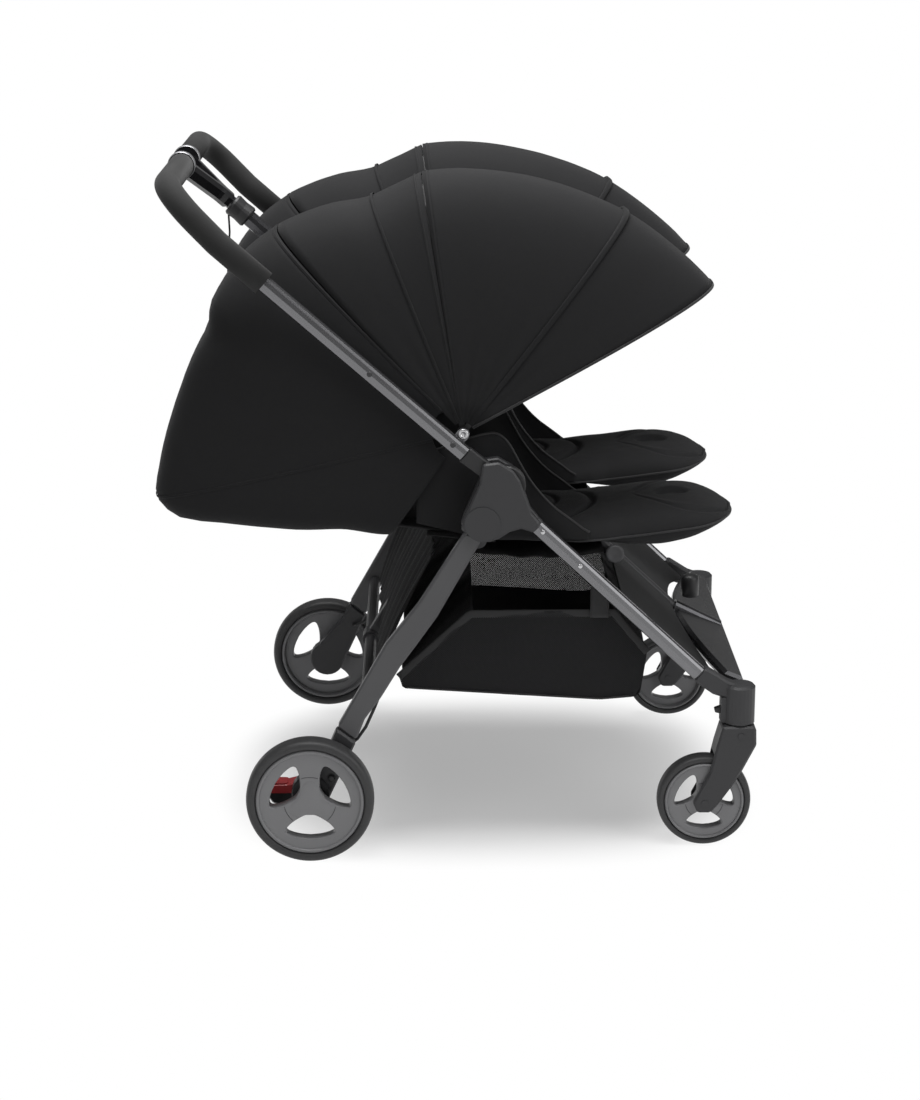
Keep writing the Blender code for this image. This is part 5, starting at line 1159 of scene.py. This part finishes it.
# %% Rings and discs of a wheel
WHEEL_STEPS = 96
WINDOWS = (-90, 30, 150)
DISC_EDGE = 0.0022


def round_wheel(centre, r, turn, y=0.0):
    """A point of a wheel at a radius and a turn, y out of the wheel's plane."""
    return centre + Vector((r * cos(turn), y, r * sin(turn)))


def ring(name, middle, centre, half_width, depth, finish, squareness=(2.4, 3.3)):
    """A closed ring round the y axis: its middle radius, depth and half width."""
    around = 28
    verts = []
    for k in range(WHEEL_STEPS):
        for n in range(around):
            a = 2 * pi * n / around
            verts.append(round_wheel(centre, middle + depth * signed_power(cos(a), squareness[0]),
                                     2 * pi * k / WHEEL_STEPS,
                                     half_width * signed_power(sin(a), squareness[1])))
    return piece(name, verts, grid_faces(WHEEL_STEPS, around, True, True), finish)


def window(middle_angle, radius):
    """One opening of the disc, as points of its rounded outline in the wheel's plane."""
    outline = []
    for k in range(48):
        a = 2 * pi * k / 48
        t = signed_power(cos(a), 3.6)
        angle = radians(middle_angle + 40 * t)
        r = radius * (0.417 + 0.120 * abs(t) ** 3 + 0.195 * signed_power(sin(a), 2.7))
        outline.append((r * cos(angle), r * sin(angle)))
    return outline


def disc(name, centre, radius, half_width, finish, holes):
    """A filled curve, extruded and bevelled, standing in the wheel's plane."""
    curve = bpy.data.curves.new(name, "CURVE")
    curve.dimensions = "2D"
    curve.fill_mode = "BOTH"
    curve.extrude = half_width - DISC_EDGE
    curve.bevel_depth = DISC_EDGE
    curve.bevel_resolution = 3
    curve.offset = -DISC_EDGE
    turns = [2 * pi * k / WHEEL_STEPS for k in range(WHEEL_STEPS)]
    rim = [(radius * 0.80 * cos(a), radius * 0.80 * sin(a)) for a in turns]
    for outline in [rim] + holes:
        spline = curve.splines.new("POLY")
        spline.points.add(len(outline) - 1)
        spline.use_cyclic_u = True
        for point, (x, z) in zip(spline.points, outline):
            point.co = (x, z, 0, 1)
    drawn = add_object(name + "_curve", curve)
    depsgraph = bpy.context.evaluated_depsgraph_get()
    mesh = bpy.data.meshes.new_from_object(drawn.evaluated_get(depsgraph))
    bpy.data.objects.remove(drawn)
    mesh.transform(Matrix.Translation(centre) @ Matrix.Rotation(pi / 2, 4, "X"))
    mesh.materials.clear()
    mesh.materials.append(finish.material)
    recalculated(mesh, 0.00002)
    for face in mesh.polygons:
        face.use_smooth = len(face.vertices) == 4 and abs(face.normal.y) < 0.999
    return add_object(name, mesh)


def lobed_dome(name, centre, radius, rise, side, finish):
    """A low dome over the axle that runs out a little along each of the three spokes."""
    rings, steps = 12, 96
    verts = []
    for n in range(rings + 1):
        t = n / rings
        height = rise * max(1 - t ** 2.4, 0.0) ** 0.8
        for k in range(steps):
            turn = 2 * pi * k / steps
            lobe = 0.5 + 0.5 * cos(3 * (turn - radians(90)))
            reach = radius * (0.212 + 0.150 * lobe ** 1.6)
            verts.append(round_wheel(centre, max(reach * t, 0.0001), turn, side * height))
    return piece(name, verts, grid_faces(rings + 1, steps, True) + [tuple(range(steps))], finish)


# %% Make the four wheels
WHEELS = {"rear": ((-0.219, 0.362), 0.095, 0.0178, 0.0172, 0.0105),
          "front": ((0.371, 0.302), 0.0705, 0.0149, 0.0160, 0.0095)}
TYRE_DEPTH = 0.086
TYRE_MIDDLE = 1 - TYRE_DEPTH
LIP_MIDDLE, LIP_DEPTH, LIP_SQUARENESS = 0.812, 0.040, (2.5, 4.0)
DISC_STEP = 0.0030
SPOKE_SEAM = 0.405


def wheel(end, hand, side):
    """Tyre, lip, windowed disc, hub and spoke seams, from the sizes of a front or rear wheel."""
    (x, y), radius, tyre_half, rim_half, disc_half = WHEELS[end]
    centre, out = Vector((x, side * y, radius)), Vector((0, side, 0))
    body, label = f"{end}_wheel_{hand}", f"{end}_{hand}"
    tyre = ring(f"tyre_{label}", radius * TYRE_MIDDLE, centre, tyre_half, radius * TYRE_DEPTH,
                tyre_rubber)
    lip = ring(f"rim_lip_{label}", radius * LIP_MIDDLE, centre, rim_half, radius * LIP_DEPTH,
               rim_finish, LIP_SQUARENESS)
    middle = centre + out * (rim_half - disc_half - DISC_STEP)
    spokes = disc(f"rim_disc_{label}", middle, radius, disc_half, rim_finish,
                  [window(angle, radius) for angle in WINDOWS])
    dome = lobed_dome(f"hub_dome_{label}", middle + out * (disc_half - 0.0002), radius, 0.0030,
                      side, rim_finish)
    barrel = turned(f"hub_barrel_{label}", centre - out * rim_half, out,
                    ((radius * 0.150, 0.0), (radius * 0.165, 0.0006), (radius * 0.175, rim_half)),
                    rim_finish, 40)
    for made in (tyre, lip, spokes, dome, barrel):
        fitting(made, body)
    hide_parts(f"{end}_tyre_{hand}")
    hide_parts(f"{end}_rim_{hand}")
    for k, angle in enumerate((90, 210, 330)):
        arc = [round_wheel(middle, radius * SPOKE_SEAM, radians(angle + 19 * (n / 7 - 1)),
                           side * (disc_half + 0.0001)) for n in range(15)]
        fitting(tube(f"spoke_seam_{label}_{k}", arc, 0.0004, black_plastic, 6), body)
    return spokes


for side, hand in HANDS.items():
    for end in WHEELS:
        made = wheel(end, hand, side)
    print(hand, "rim disc faces", len(made.data.polygons))

# %% [markdown]
# ## Grips
# A foam sleeve follows the handle's curve on each side, so it is a tube swept along the same line
# as the bar: straight pieces with a true arc at each corner.

# %% Sweep the grips
BAR_LINE = ((-0.275, 0.325, 0.859), (-0.340, 0.325, 0.916), (-0.413, 0.325, 0.992),
            (-0.413, 0.0505, 0.992))
BEND = 0.065
GRIP_RADIUS = 0.0185


def arced(corners, radius, step=radians(4)):
    """A line through the corners with an arc of this radius at each inner one."""
    points = [corners[0]]
    for before, corner, after in zip(corners, corners[1:], corners[2:]):
        a, b = (corner - before).normalized(), (after - corner).normalized()
        angle = a.angle(b)
        start, end = corner - a * radius * tan(angle / 2), corner + b * radius * tan(angle / 2)
        middle = corner + (b - a).normalized() * radius / cos(angle / 2)
        count = max(int(angle / step), 3)
        first, last = (start - middle).normalized(), (end - middle).normalized()
        points += [middle + first.slerp(last, k / count) * radius for k in range(count + 1)]
    return points + [corners[-1]]


for side, hand in HANDS.items():
    line = arced([Vector((x, side * y, z)) for x, y, z in BAR_LINE], BEND)
    sleeve = tube(f"grip_sleeve_{hand}", line, GRIP_RADIUS, grip_foam, 40)
    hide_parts(f"grip_{hand}")
    fitting(sleeve, "upper_frame")

# %% Cap over the spine's end, on the front bar
SPINE_CAP = ((0.0120, 0.0), (0.0140, 0.002), (0.0142, 0.024), (0.0136, 0.030), (0.0112, 0.034),
             (0.0070, 0.0358), (0.0, 0.0362))
fitting(turned("spine_cap", (0.375, 0, 0.300), (0, 0, 1), SPINE_CAP, black_plastic, 48),
        "chassis")
